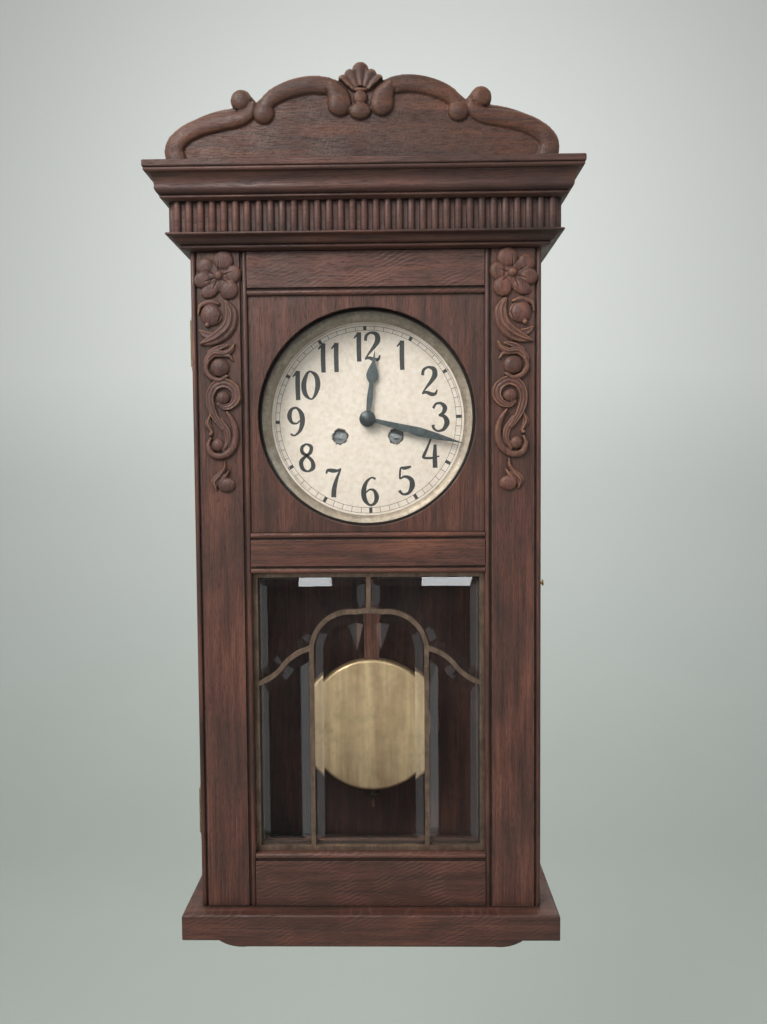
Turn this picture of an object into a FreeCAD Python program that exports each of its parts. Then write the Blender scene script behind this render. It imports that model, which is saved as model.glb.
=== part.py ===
"""Pendulum wall clock: oak case, glazed and leaded door, spring movement and pendulum.

Millimetres. +X is to the right of someone facing the dial, -Y comes out of the wall towards
them and +Z is up. The origin is the centre of the wall hanger's hole, on the wall plane y = 0.
"""

import FreeCAD, Part

import math
import os

V = FreeCAD.Vector

# ---------------------------------------------------------------- driving dimensions

# Case
case_width = 310.0
case_depth = 155.0
door_thickness = 22.0
door_gap = 0.5
side_thickness = 12.0
back_thickness = 8.0
base_bottom_z = -650.0
base_height = 24.0
base_overhang = 15.0
base_apron_drop = 5.7
base_apron_half = 137.0
seat_board_top_z = -234.0
seat_board_thickness = 12.0
hanger_hole_r = 5.0
hanger_half_x = 22.0
hanger_half_z = 16.0
hanger_thickness = 2.5
hanger_screw_x = 16.0

# Head of the case, from the door up
head_bottom_z = -33.0
frieze_bottom_z = -20.6
frieze_top_z = 5.8
cover_bottom_z = 29.4
cover_top_z = 35.6
frieze_overhang = 15.4
frieze_reed_height = 3.4
frieze_reed_share = 0.68         # of the reeds' spacing
frieze_front_reeds = 33
frieze_side_reeds = 19
cornice_overhang = 31.6

# Crest
crest_centre_x = -1.6
crest_top_z = 114.9
crest_front_y = -178.0
crest_thickness = 12.0
crest_relief = 5.0

# Door
stile_width = 50.0
bead_width = 4.5
groove_width = 1.8
groove_depth = 2.2
rail_bead_width = 5.0
top_rail_bottom_z = -71.8
middle_rail_top_z = -282.5
middle_rail_bottom_z = -319.4
bottom_rail_top_z = -576.9
panel_front_y = -152.0
panel_thickness = 8.0
dial_opening_r = 97.5
dial_glass_r = 101.7
dial_glass_bevel = 14.0
carving_x = 130.0
carving_relief = 4.5

# Leaded light
came_width = 4.2
came_front_y = -147.5
came_depth = 6.0
pane_front_y = -146.2
pane_thickness = 3.2
came_upright_x = 52.5
arch_top_z = -354.6
arch_foot_z = -388.0
wing_end_z = -422.0

# Hinges and latch
hinge_axis_x = -158.4
hinge_knuckle_r = 3.0
hinge_pin_r = 1.2
hinge_length = 42.0
hinge_centres_z = (-110.0, -545.0)
leaf_thickness = 1.2
running_clearance = 0.05
hook_z = -330.0
hook_pivot_y = -112.0
hook_length = 32.0
hook_thickness = 1.6
hook_gap = 0.3
hook_screw_r = 1.5
catch_pin_r = 1.7

# Dial and hands
dial_z = -179.5
dial_radius = 100.0
dial_front_y = -121.0
dial_thickness = 1.6
dial_ring_inner_r = 88.0
dial_ring_outer_r = 99.5
winding_hole_r = 6.2
winding_x = 26.0
winding_drop = 15.7
hour_hand_length = 64.0
minute_hand_length = 91.0
hour_hand_angle = 6.5           # degrees clockwise from twelve, on the stored clock
minute_hand_angle = 104.6
hand_thickness = 1.2
hub_r = 7.5

# Movement
front_plate_front_y = -112.0
back_plate_back_y = -74.0
plate_thickness = 2.0
plate_half_width = 60.0
plate_bottom_z = -230.0
plate_top_z = -88.0
arbor_r = 1.0
centre_arbor_r = 2.0
winding_arbor_r = 2.5
pressure_angle = 22.0
tooth_addendum = 0.7            # of the module
tooth_dedendum = 0.95
tooth_thinning = 0.10           # of the pitch

barrel_teeth = 84
strike_barrel_teeth = 78
barrel_module = 0.6
barrel_drum_r = 21.5
intermediate_leaves = 12
intermediate_teeth = 72
centre_leaves = 8
centre_teeth = 96
centre_module = 0.46
third_leaves = 12
third_teeth = 96
third_module = 0.47
escape_leaves = 8
escape_teeth = 30
escape_wheel_r = 17.0
anchor_drop = 28.0              # from the anchor's arbor down to the escape arbor
motion_distance = 14.4
cannon_leaves = 12
minute_teeth = 36
minute_leaves = 10
hour_teeth = 40

# Pendulum
pendulum_y = -60.0
rod_width = 15.0
rod_thickness = 6.0
bob_r = 68.0
bob_thickness = 14.0
bob_z = -486.3
spring_length = 9.0

# Striking
gong_y = -26.0
gong_z = -160.0
gong_wire_r = 1.6
gong_pitch = 6.4
gong_turns = 6
gong_inner_r = 22.0
hammer_x = 84.0
hammer_z = -222.0

# ---------------------------------------------------------------- derived places

half_width = case_width / 2
front_y = -case_depth
door_back_y = front_y + door_thickness
case_front_y = door_back_y + door_gap
base_top_z = base_bottom_z + base_height
door_bottom_z = base_top_z + door_gap
door_top_z = head_bottom_z - door_gap
stile_inner_x = half_width - stile_width
opening_half = stile_inner_x
front_plate_back_y = front_plate_front_y + plate_thickness
back_plate_front_y = back_plate_back_y - plate_thickness
winding_z = dial_z - winding_drop

centre_distance = centre_module * (centre_teeth + third_leaves) / 2
third_distance = third_module * (third_teeth + escape_leaves) / 2
third_z = dial_z + centre_distance
escape_z = third_z + third_distance
anchor_z = escape_z + anchor_drop
intermediate_module = 0.6
minute_arbor_z = dial_z + motion_distance
cannon_module = 2 * motion_distance / (cannon_leaves + minute_teeth)
hour_module = 2 * motion_distance / (minute_leaves + hour_teeth)

# ---------------------------------------------------------------- drawing helpers


def box(x0, x1, y0, y1, z0, z1):
    """A block between two opposite corners."""
    return Part.makeBox(x1 - x0, y1 - y0, z1 - z0, V(x0, y0, z0))


def rod_y(x, z, radius, y0, y1):
    """A round bar along Y from y0 to y1."""
    return Part.makeCylinder(radius, y1 - y0, V(x, y0, z), V(0, 1, 0))


def rod_z(x, y, radius, z0, z1):
    """A round bar along Z from z0 to z1."""
    return Part.makeCylinder(radius, z1 - z0, V(x, y, z0), V(0, 0, 1))


def tube_y(x, z, outer, inner, y0, y1):
    """A round tube along Y."""
    return rod_y(x, z, outer, y0, y1).cut(rod_y(x, z, inner, y0 - 1, y1 + 1))


def xz(y):
    """Turns a pair (x, z) into a point on the plane at y."""
    return lambda p: V(p[0], y, p[1])


def yz(x):
    """Turns a pair (y, z) into a point on the plane at x."""
    return lambda p: V(x, p[0], p[1])


def xy(z):
    """Turns a pair (x, y) into a point on the plane at z."""
    return lambda p: V(p[0], p[1], z)


def outline(place, start, steps):
    """A closed face: each step is an end point, or (middle, end) of an arc."""
    edges = []
    here = start
    for step in steps + [start]:
        if isinstance(step[0], tuple):
            middle, end = step
            edges.append(Part.Arc(place(here), place(middle), place(end)).toShape())
        else:
            end = step
            if math.dist(here, end) > 1e-6:
                edges.append(Part.makeLine(place(here), place(end)))
        here = end
    return Part.Face(Part.Wire(edges))


def fuse(shapes):
    """One solid from several."""
    return shapes[0].multiFuse(shapes[1:]).removeSplitter()


def group(shapes):
    """Separate solids kept in one node."""
    return Part.makeCompound(shapes)


def mirrored_x(shape, centre=0.0):
    """The mirror image of a shape across the plane x = centre."""
    return shape.mirror(V(centre, 0, 0), V(1, 0, 0))


def turned(shape, x, z, degrees):
    """A shape turned about the Y axis through (x, z), clockwise as seen from the front."""
    out = shape.copy()
    out.rotate(V(x, 0, z), V(0, 1, 0), degrees)
    return out


def save(name, shape):
    """Writes one sub-part."""
    shape.exportStep("parts/" + name + ".step")


# ---------------------------------------------------------------- mouldings


def case_return(profile_start, profile_steps):
    """A moulding along the front and both sides, mitred at the front corners.

    The profile is drawn as (overhang, z), with overhang 0 on the case's own faces.
    """
    reach = 60.0
    inside = 40.0
    x0 = half_width
    bottom, top = -60.0, 60.0
    front_face = outline(
        lambda p: V(-x0 - reach, front_y - p[0], p[1]), profile_start, profile_steps
    )
    front = front_face.extrude(V(2 * (x0 + reach), 0, 0))
    side_face = outline(
        lambda p: V(x0 + p[0], front_y - reach, p[1]), profile_start, profile_steps
    )
    side = side_face.extrude(V(0, case_depth + reach, 0))
    front_wedge = outline(
        xy(bottom),
        (-x0 - reach, front_y - reach),
        [(x0 + reach, front_y - reach), (x0 - inside, front_y + inside),
         (-x0 + inside, front_y + inside)],
    ).extrude(V(0, 0, top - bottom))
    side_wedge = outline(
        xy(bottom),
        (x0 + reach, front_y - reach),
        [(x0 + reach, 0), (x0 - inside, 0), (x0 - inside, front_y + inside)],
    ).extrude(V(0, 0, top - bottom))
    right = side.common(side_wedge)
    return fuse([front.common(front_wedge), right, mirrored_x(right)])


def cornice_crown():
    """The crown moulding: fillet, ogee and bead under the cover board."""
    top = cover_bottom_z
    return case_return(
        (0, top),
        [
            (cornice_overhang - 1.4, top),
            ((cornice_overhang - 0.9, top - 1.9), (cornice_overhang - 3.0, top - 3.6)),
            (cornice_overhang - 4.6, top - 3.8),
            (cornice_overhang - 5.4, top - 5.0),
            ((24.0, top - 9.6), (23.6, top - 13.8)),
            ((22.6, top - 17.6), (19.8, top - 19.4)),
            (18.8, top - 20.0),
            ((20.1, top - 21.2), (18.8, top - 22.4)),
            (frieze_overhang + 0.6, frieze_top_z),
            (0, frieze_top_z),
        ],
    )


def lower_cornice_moulding():
    """The architrave moulding between the frieze and the door."""
    top = frieze_bottom_z
    return case_return(
        (0, top),
        [
            (16.0, top),
            ((16.9, top - 1.2), (16.0, top - 2.4)),
            (14.4, top - 2.8),
            ((11.8, top - 4.0), (10.6, top - 5.6)),
            ((9.2, top - 7.4), (7.0, top - 8.4)),
            (5.8, top - 8.6),
            ((7.0, top - 10.1), (5.8, top - 11.6)),
            (2.0, head_bottom_z),
            (0, head_bottom_z),
        ],
    )


def reeded_edge(start, end, count, outward):
    """The steps of an outline from start to end, with half-round reeds between flats."""
    def at(share, height=0.0):
        return tuple(a + share * (b - a) + height * o for a, b, o in zip(start, end, outward))

    half = frieze_reed_share / 2
    steps = []
    for i in range(count):
        steps.append(at((i + 0.5 - half) / count))
        steps.append((at((i + 0.5) / count, frieze_reed_height), at((i + 0.5 + half) / count)))
    steps.append(end)
    return steps


def frieze():
    """The frieze: upright reeds on the front and both sides."""
    x = half_width + frieze_overhang - frieze_reed_height
    y = front_y - frieze_overhang + frieze_reed_height
    steps = reeded_edge((-x, 0), (-x, y), frieze_side_reeds, (-1, 0))
    steps += reeded_edge((-x, y), (x, y), frieze_front_reeds, (0, -1))
    steps += reeded_edge((x, y), (x, 0), frieze_side_reeds, (1, 0))
    steps += [(half_width, 0), (half_width, front_y), (-half_width, front_y), (-half_width, 0)]
    face = outline(xy(frieze_bottom_z), (-x, 0), steps)
    return face.extrude(V(0, 0, frieze_top_z - frieze_bottom_z))


# ---------------------------------------------------------------- case


def back_board():
    """The back board, with the hanger's clearance hole."""
    inner = half_width - side_thickness
    board = box(-inner, inner, -back_thickness, 0, base_top_z, cover_bottom_z)
    recess = box(-hanger_half_x, hanger_half_x, -hanger_thickness, 1, -hanger_half_z, hanger_half_z)
    board = board.cut(rod_y(0, 0, 9.0, -back_thickness - 1, 1)).cut(recess)
    for x in (-hanger_screw_x, hanger_screw_x):
        board = board.cut(rod_y(x, 0, 2.0, -back_thickness - 1, 1))
    return board


def case_side(sign):
    """One side board."""
    x0, x1 = half_width - side_thickness, half_width
    board = box(x0, x1, case_front_y, 0, base_top_z, cover_bottom_z)
    if sign < 0:
        return mirrored_x(board)
    return board.cut(Part.makeCylinder(hook_screw_r, 20, V(x0 - 4, hook_pivot_y, hook_z), V(1, 0, 0)))


def head_rail():
    """The rail across the top of the case, behind the frieze."""
    return box(-half_width, half_width, front_y, case_front_y, head_bottom_z, cover_bottom_z)


def top_board():
    """The thin cover board whose edge is the cornice's top fillet."""
    reach = half_width + cornice_overhang
    board = box(-reach, reach, front_y - cornice_overhang, 0, cover_bottom_z, cover_top_z)
    edges = []
    for edge in board.Edges:
        box_of = edge.BoundBox
        on_front = box_of.YMax < front_y - cornice_overhang + 0.1
        on_side = abs(abs(edge.CenterOfMass.x) - reach) < 0.1
        level = box_of.ZLength < 0.1
        if level and (on_front or on_side):
            edges.append(edge)
    return board.makeFillet(1.4, edges)


def base_board():
    """The base board, with an apron that hangs a little along the middle of its front."""
    reach = half_width + base_overhang
    y0 = front_y - base_overhang
    board = box(-reach, reach, y0, 0, base_bottom_z, base_top_z)
    half = base_apron_half
    low = base_bottom_z - base_apron_drop
    apron = outline(
        xz(y0),
        (-half, base_bottom_z + 4),
        [
            (half, base_bottom_z + 4),
            (half, base_bottom_z),
            ((half - 9, base_bottom_z - 4.2), (half - 26, low)),
            (-half + 26, low),
            ((-half + 9, base_bottom_z - 4.2), (-half, base_bottom_z)),
        ],
    ).extrude(V(0, 18, 0))
    board = fuse([board, apron])
    upper = [
        e for e in board.Edges
        if e.BoundBox.ZMin > base_top_z - 0.1 and (e.BoundBox.YMax < y0 + 0.1
                                                   or e.BoundBox.XLength < 0.1)
    ]
    board = board.makeFillet(2.0, upper)
    lower = [
        e for e in board.Edges
        if e.BoundBox.YMax < y0 + 0.1 and e.BoundBox.ZMax < base_bottom_z + 0.1
    ]
    return board.makeFillet(2.6, lower)


def crest_outline(place):
    """The scroll-cut silhouette of the crest, as a face."""
    c = crest_centre_x
    foot = cover_top_z
    right = [
        ((5.0, 113.2), (6.9, 109.0)),
        ((11.6, 108.6), (13.7, 104.8)),
        ((17.2, 104.2), (18.8, 101.8)),
        ((42.0, 106.0), (76.0, 95.6)),
        (88.6, 84.9),
        (93.6, 90.6),
        ((106.6, 93.5), (108.3, 80.4)),
        ((143.0, 70.5), (163.2, 56.8)),
        ((167.4, 46.5), (165.4, foot)),
    ]
    corners = [(0.0, crest_top_z)] + [p[1] if isinstance(p[0], tuple) else p for p in right]
    steps = []
    for step in right:
        if isinstance(step[0], tuple):
            steps.append(((c + step[0][0], step[0][1]), (c + step[1][0], step[1][1])))
        else:
            steps.append((c + step[0], step[1]))
    steps.append((c - corners[-1][0], corners[-1][1]))
    for i in range(len(right) - 1, -1, -1):
        end = (c - corners[i][0], corners[i][1])
        if isinstance(right[i][0], tuple):
            steps.append(((c - right[i][0][0], right[i][0][1]), end))
        else:
            steps.append(end)
    return outline(place, (c, crest_top_z), steps)


def crest_board():
    """The crest, with its carved band left as a plain raised border."""
    face = crest_outline(xz(crest_front_y))
    board = face.extrude(V(0, crest_thickness, 0))
    raised = face.extrude(V(0, -crest_relief, 0))
    c = crest_centre_x
    field = outline(
        xz(crest_front_y - crest_relief - 1),
        (c - 150, cover_top_z - 1),
        [(c - 146, 52), ((c - 116, 64), (c - 78, 78)), (c - 12, 86), (c + 12, 86),
         (c + 78, 78), ((c + 116, 64), (c + 146, 52)), (c + 150, cover_top_z - 1)],
    ).extrude(V(0, crest_relief + 1, 0))
    return fuse([board, raised.cut(field)])


def hanger_plate():
    """The steel hanger plate, let into the back board, with the hole for the wall hook."""
    plate = box(-hanger_half_x, hanger_half_x, -hanger_thickness, 0, -hanger_half_z, hanger_half_z)
    plate = plate.cut(rod_y(0, 0, hanger_hole_r, -4, 1))
    for x in (-hanger_screw_x, hanger_screw_x):
        plate = plate.cut(rod_y(x, 0, 2.0, -4, 1))
    return plate


def case_screws():
    """Screws: two that hold the hanger plate to the back board, and the hook's pivot screw."""
    screws = []
    for x in (-hanger_screw_x, hanger_screw_x):
        shank = rod_y(x, 0, 2.0, -back_thickness, 0.0)
        nut = rod_y(x, 0, 3.6, -back_thickness - 2.0, -back_thickness)
        screws.append(fuse([shank, nut]))
    x = half_width
    pivot = Part.makeCylinder(hook_screw_r, 12, V(x - 9.5, hook_pivot_y, hook_z), V(1, 0, 0))
    head = Part.makeCylinder(3.4, 1.2, V(x + hook_gap + hook_thickness + 0.2, hook_pivot_y, hook_z),
                             V(1, 0, 0))
    screws.append(fuse([pivot, head]))
    return group(screws)


def seat_board():
    """The shelf that carries the movement, notched at the back for the pendulum."""
    inner = half_width - side_thickness
    z1 = seat_board_top_z
    board = box(-inner, inner, front_plate_front_y - 1, -back_thickness, z1 - seat_board_thickness, z1)
    notch = box(-24, 24, back_plate_back_y + 1, -back_thickness - 6, z1 - 20, z1 + 5)
    return board.cut(notch)


def gong_coil():
    """The flat coiled wire gong, a spiral of half circles of growing radius."""
    edges = []
    r = gong_inner_r
    x = 0.0
    sign = 1.0
    for _ in range(2 * gong_turns):
        a = V(x - sign * r, gong_y, gong_z)
        top = V(x, gong_y, gong_z + sign * r)
        b = V(x + sign * r, gong_y, gong_z)
        edges.append(Part.Arc(a, top, b).toShape())
        step = gong_pitch / 2
        x += sign * r - sign * (r + step)
        r += step
        sign = -sign
    wire = Part.Wire(edges)
    first = edges[0].valueAt(edges[0].FirstParameter)
    ring = Part.Wire(Part.makeCircle(gong_wire_r, first, V(0, 0, 1)))
    coil = wire.makePipeShell([ring], True, False)
    anchor_block = rod_y(0, gong_z, 7.0, gong_y - 4, gong_y + 4)
    link = Part.makeCylinder(gong_wire_r, gong_inner_r - 4, first, V(1, 0, 0))
    return fuse([coil, anchor_block, link])


def gong_stand():
    """The iron post and foot that hold the gong off the back board."""
    post = rod_y(0, gong_z, 4.5, gong_y + 4, -back_thickness - 4)
    foot = box(-14, 14, -back_thickness - 4, -back_thickness, gong_z - 20, gong_z + 20)
    return fuse([post, foot])


# ---------------------------------------------------------------- door


def moulded_edge(edge_at, inward, width):
    """Outline steps of a bead and its groove, starting on the edge at the bead's back.

    Each pair is (position across the board, depth below the face).
    """
    r = width / 2
    bead = edge_at + inward * width
    groove = bead + inward * groove_width
    return [
        (edge_at, r),
        ((edge_at + inward * r, 0.0), (bead, r)),
        (bead, groove_depth + 0.6),
        (groove, groove_depth + 0.6),
        (groove, 0.0),
    ]


def stile(sign):
    """An upright of the door, with a bead and groove along both edges of its face."""
    left = moulded_edge(stile_inner_x, 1, bead_width)
    right = moulded_edge(half_width, -1, bead_width)
    steps = []
    for item in left:
        if isinstance(item[0], tuple):
            steps.append(((item[0][0], front_y + item[0][1]), (item[1][0], front_y + item[1][1])))
        else:
            steps.append((item[0], front_y + item[1]))
    back = []
    previous = None
    for item in right:
        if isinstance(item[0], tuple):
            middle = (item[0][0], front_y + item[0][1])
            end = (item[1][0], front_y + item[1][1])
            back.append((previous, middle, end))
            previous = end
        else:
            end = (item[0], front_y + item[1])
            back.append((previous, None, end))
            previous = end
    steps.append(back[-1][2])
    for start, middle, _ in reversed(back):
        if start is None:
            continue
        steps.append(start if middle is None else (middle, start))
    steps.append((half_width, door_back_y))
    face = outline(xy(door_bottom_z), (stile_inner_x, door_back_y), steps)
    board = face.extrude(V(0, 0, door_top_z - door_bottom_z))
    rebate = box(stile_inner_x - 1, stile_inner_x + 5, came_front_y, door_back_y + 1,
                 bottom_rail_top_z - 5, middle_rail_bottom_z + 5)
    board = board.cut(rebate)
    if sign < 0:
        return mirrored_x(board)
    y = hook_pivot_y - hook_length
    return board.cut(Part.makeCylinder(catch_pin_r, 20, V(half_width - 8, y, hook_z), V(1, 0, 0)))


def rail(z0, z1, bead_below, bead_above):
    """A cross rail of the door between the stiles, beaded on the edges that show."""
    steps = []
    if bead_below:
        below = moulded_edge(z0, 1, rail_bead_width)
    else:
        below = [(z0, 0.0)]
    for item in below:
        if isinstance(item[0], tuple):
            steps.append(((front_y + item[0][1], item[0][0]), (front_y + item[1][1], item[1][0])))
        else:
            steps.append((front_y + item[1], item[0]))
    if bead_above:
        r = rail_bead_width / 2
        bead = z1 - rail_bead_width
        groove = bead - groove_width
        deep = front_y + groove_depth + 0.6
        steps += [
            (front_y, groove),
            (deep, groove),
            (deep, bead),
            (front_y + r, bead),
            ((front_y, bead + r), (front_y + r, z1)),
        ]
    else:
        steps.append((front_y, z1))
    steps.append((door_back_y, z1))
    face = outline(yz(-stile_inner_x), (door_back_y, z0), steps)
    return face.extrude(V(2 * stile_inner_x, 0, 0))


def dial_panel():
    """The upright-grained panel around the dial, with a round opening rebated from behind."""
    y0 = panel_front_y
    y1 = y0 + panel_thickness
    panel = box(-stile_inner_x, stile_inner_x, y0, y1, middle_rail_top_z, top_rail_bottom_z)
    panel = panel.cut(rod_y(0, dial_z, dial_opening_r, y0 - 1, y1 + 1))
    return panel.cut(rod_y(0, dial_z, dial_glass_r + 0.3, y1 - 3.0, y1 + 1))


def dial_glass():
    """The round glass, with a wide bevel towards the front."""
    y1 = panel_front_y + panel_thickness
    flange = rod_y(0, dial_z, dial_glass_r, y1 - 3.0, y1)
    flat_r = dial_opening_r - dial_glass_bevel
    crown = Part.makeCone(dial_opening_r - 0.3, flat_r, 1.6, V(0, y1 - 3.0, dial_z), V(0, -1, 0))
    return fuse([flange, crown])


def dial_glass_ring():
    """The ring that holds the dial glass from behind."""
    y0 = panel_front_y + panel_thickness
    return tube_y(0, dial_z, dial_glass_r + 1.0, dial_opening_r - 2.5, y0, y0 + 3.0)


def arc_strip(p0, p1, p2, width, y0, y1):
    """A flat strip of constant width along the arc through three (x, z) points."""
    arc = Part.Arc(V(p0[0], 0, p0[1]), V(p1[0], 0, p1[1]), V(p2[0], 0, p2[1]))
    centre = arc.toShape().Curve.Center
    edges = []
    sides = []
    for offset in (width / 2, -width / 2):
        points = []
        for p in (p0, p1, p2):
            d = V(p[0] - centre.x, 0, p[1] - centre.z)
            reach = d.Length + offset
            d.normalize()
            points.append(V(centre.x + d.x * reach, y0, centre.z + d.z * reach))
        sides.append(points)
        edges.append(Part.Arc(*points).toShape())
    edges.append(Part.makeLine(sides[0][2], sides[1][2]))
    edges.append(Part.makeLine(sides[1][0], sides[0][0]))
    wire = Part.Wire(Part.__sortEdges__(edges))
    return Part.Face(wire).extrude(V(0, y1 - y0, 0))


def came_strips(y0, y1):
    """The inner cames: two uprights, an arch, a short king bar and two ogee wings."""
    x = came_upright_x
    w = came_width
    low = bottom_rail_top_z
    strips = [box(s * x - w / 2, s * x + w / 2, y0, y1, low, arch_foot_z + 1) for s in (-1, 1)]
    rise = arch_top_z - arch_foot_z
    shoulder = (x * 0.74, arch_foot_z + rise * 0.745)
    strips.append(arc_strip((-x, arch_foot_z), (-shoulder[0], shoulder[1]), (-12, arch_top_z - 1.2),
                            w, y0, y1))
    strips.append(arc_strip((x, arch_foot_z), (shoulder[0], shoulder[1]), (12, arch_top_z - 1.2),
                            w, y0, y1))
    strips.append(arc_strip((-12.5, arch_top_z - 1.3), (0, arch_top_z), (12.5, arch_top_z - 1.3),
                            w, y0, y1))
    strips.append(box(-w / 2, w / 2, y0, y1, arch_top_z, middle_rail_bottom_z))
    for s in (-1, 1):
        strips.append(arc_strip((s * x, arch_foot_z - 1), (s * 67, -394.6), (s * 78, -404.0),
                                w, y0, y1))
        strips.append(arc_strip((s * 77.6, -403.6), (s * 88.4, -414.6), (s * (opening_half - 1),
                                wing_end_z), w, y0, y1))
    return strips


def leaded_opening(y0, y1):
    """The block of space inside the door's lower opening."""
    return box(-opening_half, opening_half, y0, y1, bottom_rail_top_z, middle_rail_bottom_z)


def came_lattice():
    """The brass came lattice with its border."""
    y0, y1 = came_front_y, came_front_y + came_depth
    whole = leaded_opening(y0, y1)
    w = came_width
    border = whole.cut(
        box(-opening_half + w, opening_half - w, y0 - 1, y1 + 1,
            bottom_rail_top_z + w, middle_rail_bottom_z - w)
    )
    return fuse([border] + came_strips(y0, y1)).common(whole)


def leaded_panes(lattice):
    """The five panes, sorted into centre, upper pair and lower pair."""
    slab = leaded_opening(pane_front_y, pane_front_y + pane_thickness)
    panes = slab.cut(lattice).Solids
    middle = [p for p in panes if abs(p.CenterOfMass.x) < 5]
    others = [p for p in panes if abs(p.CenterOfMass.x) >= 5]
    upper = [p for p in others if p.BoundBox.ZMax > arch_top_z]
    lower = [p for p in others if p.BoundBox.ZMax <= arch_top_z]
    return group(middle), group(upper), group(lower)


def glazing_frame():
    """The wooden beads that hold the leaded light from behind."""
    y0 = came_front_y + came_depth
    y1 = door_back_y
    whole = leaded_opening(y0, y1)
    hole = box(-opening_half + 7, opening_half - 7, y0 - 1, y1 + 1,
               bottom_rail_top_z + 7, middle_rail_bottom_z - 7)
    return whole.cut(hole)


def carving(sign):
    """A carved drop of scrolls on a stile: flower head, stem, five scrolls and a tail."""
    x = carving_x
    y1 = front_y
    y0 = y1 - carving_relief
    scrolls = [
        (x - 0.5, -53.6, 17.6),
        (x + 6.0, -87.5, 10.0),
        (x - 8.0, -98.0, 9.0),
        (x + 0.5, -133.7, 9.0),
        (x - 1.5, -161.0, 16.0),
        (x + 3.0, -202.5, 9.0),
        (x - 3.0, -236.6, 7.0),
    ]
    solids = [rod_y(cx, cz, r, y0, y1) for cx, cz, r in scrolls]
    for (ax, az, ar), (bx, bz, br) in zip(scrolls, scrolls[1:]):
        half = 0.55 * min(ar, br)
        solids.append(
            outline(xz(y0), (ax - half, az), [(ax + half, az), (bx + half, bz), (bx - half, bz)])
            .extrude(V(0, y1 - y0 - 0.8, 0)).translate(V(0, 0.8, 0))
        )
    body = fuse(solids)
    return body if sign > 0 else mirrored_x(body)


# ---------------------------------------------------------------- hinges and latch


def hinge_spans(z):
    """The knuckles of one hinge: two on the case's leaf, one on the door's between them."""
    third = hinge_length / 3
    low = z - hinge_length / 2
    case = [(low, low + third - 0.3), (low + 2 * third + 0.3, low + hinge_length)]
    door = [(low + third, low + 2 * third)]
    return case, door


def hinge_leaves(of_door):
    """The leaves and knuckles of both hinges, on the door's side or the case's."""
    leaves = []
    joint_y = (door_back_y + case_front_y) / 2
    for z in hinge_centres_z:
        case, door = hinge_spans(z)
        spans = door if of_door else case
        low = z - hinge_length / 2
        x0 = hinge_axis_x
        x1 = -half_width
        if of_door:
            leaf = box(-half_width - leaf_thickness, x1, joint_y - 16, joint_y - 0.6, low,
                       low + hinge_length)
        else:
            leaf = box(-half_width - leaf_thickness, x1, joint_y + 0.6, joint_y + 16, low,
                       low + hinge_length)
        solids = [leaf]
        for a, b in spans:
            solids.append(rod_z(x0, joint_y, hinge_knuckle_r, a, b))
            web_y0 = joint_y - 2.4 if of_door else joint_y
            web_y1 = joint_y if of_door else joint_y + 2.4
            solids.append(box(-half_width - leaf_thickness - 1.2, -half_width - 0.4, web_y0, web_y1,
                              a, b))
        whole = fuse(solids)
        bore = hinge_pin_r + running_clearance if of_door else hinge_pin_r
        whole = whole.cut(rod_z(x0, joint_y, bore, low - 1, low + hinge_length + 1))
        other = case if of_door else door
        for a, b in other:
            clear = rod_z(x0, joint_y, hinge_knuckle_r + 0.3, a - 0.2, b + 0.2)
            whole = whole.cut(clear)
        leaves.append(whole)
    return group(leaves)


def hinge_pins():
    """The two hinge pins, with ball tips."""
    joint_y = (door_back_y + case_front_y) / 2
    pins = []
    for z in hinge_centres_z:
        pin = rod_z(hinge_axis_x, joint_y, hinge_pin_r, z - hinge_length / 2 - 1,
                    z + hinge_length / 2 + 1)
        tips = []
        for s in (-1, 1):
            tips.append(Part.makeSphere(2.2, V(hinge_axis_x, joint_y,
                                               z + s * (hinge_length / 2 + 2.0))))
        pins.append(fuse([pin] + tips))
    return group(pins)


def door_hook():
    """The brass hook on the case's side, drawn lying unhooked, straight down."""
    x0 = half_width + hook_gap
    x1 = x0 + hook_thickness
    y, z = hook_pivot_y, hook_z
    eye = Part.makeCylinder(4.2, hook_thickness, V(x0, y, z), V(1, 0, 0))
    shank = box(x0, x1, y - 1.6, y + 1.6, z - hook_length + 2.0, z)
    bend = Part.makeCylinder(4.4, hook_thickness, V(x0, y, z - hook_length), V(1, 0, 0))
    throat = Part.makeCylinder(2.3, 6, V(x0 - 1, y, z - hook_length), V(1, 0, 0))
    mouth = box(x0 - 1, x1 + 1, y, y + 6, z - hook_length - 2.3, z - hook_length + 2.3)
    hole = Part.makeCylinder(hook_screw_r + running_clearance, 6, V(x0 - 1, y, z), V(1, 0, 0))
    return fuse([eye, shank, bend]).cut(throat).cut(mouth).cut(hole)


def catch_pin():
    """The headed pin in the door's edge that the hook drops over."""
    y = hook_pivot_y - hook_length
    x0 = half_width - 8
    pin = Part.makeCylinder(catch_pin_r, 11, V(x0, y, hook_z), V(1, 0, 0))
    head = Part.makeCylinder(2.8, 1.0, V(x0 + 11, y, hook_z), V(1, 0, 0))
    return fuse([pin, head])


# ---------------------------------------------------------------- dial and hands


def dial_plate():
    """The dial: a disc on three feet, with the centre hole and two winding holes."""
    y0 = dial_front_y
    y1 = y0 + dial_thickness
    disc = rod_y(0, dial_z, dial_radius, y0, y1)
    feet = []
    for x, dz in ((-48, 40), (48, 40), (48, -40), (-48, -40)):
        feet.append(rod_y(x, dial_z + dz, 2.0, y1, front_plate_front_y))
    disc = fuse([disc] + feet)
    disc = disc.cut(rod_y(0, dial_z, 5.4, y0 - 1, y1 + 1))
    for x in (-winding_x, winding_x):
        disc = disc.cut(rod_y(x, winding_z, winding_hole_r, y0 - 1, y1 + 1))
    return disc


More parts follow.
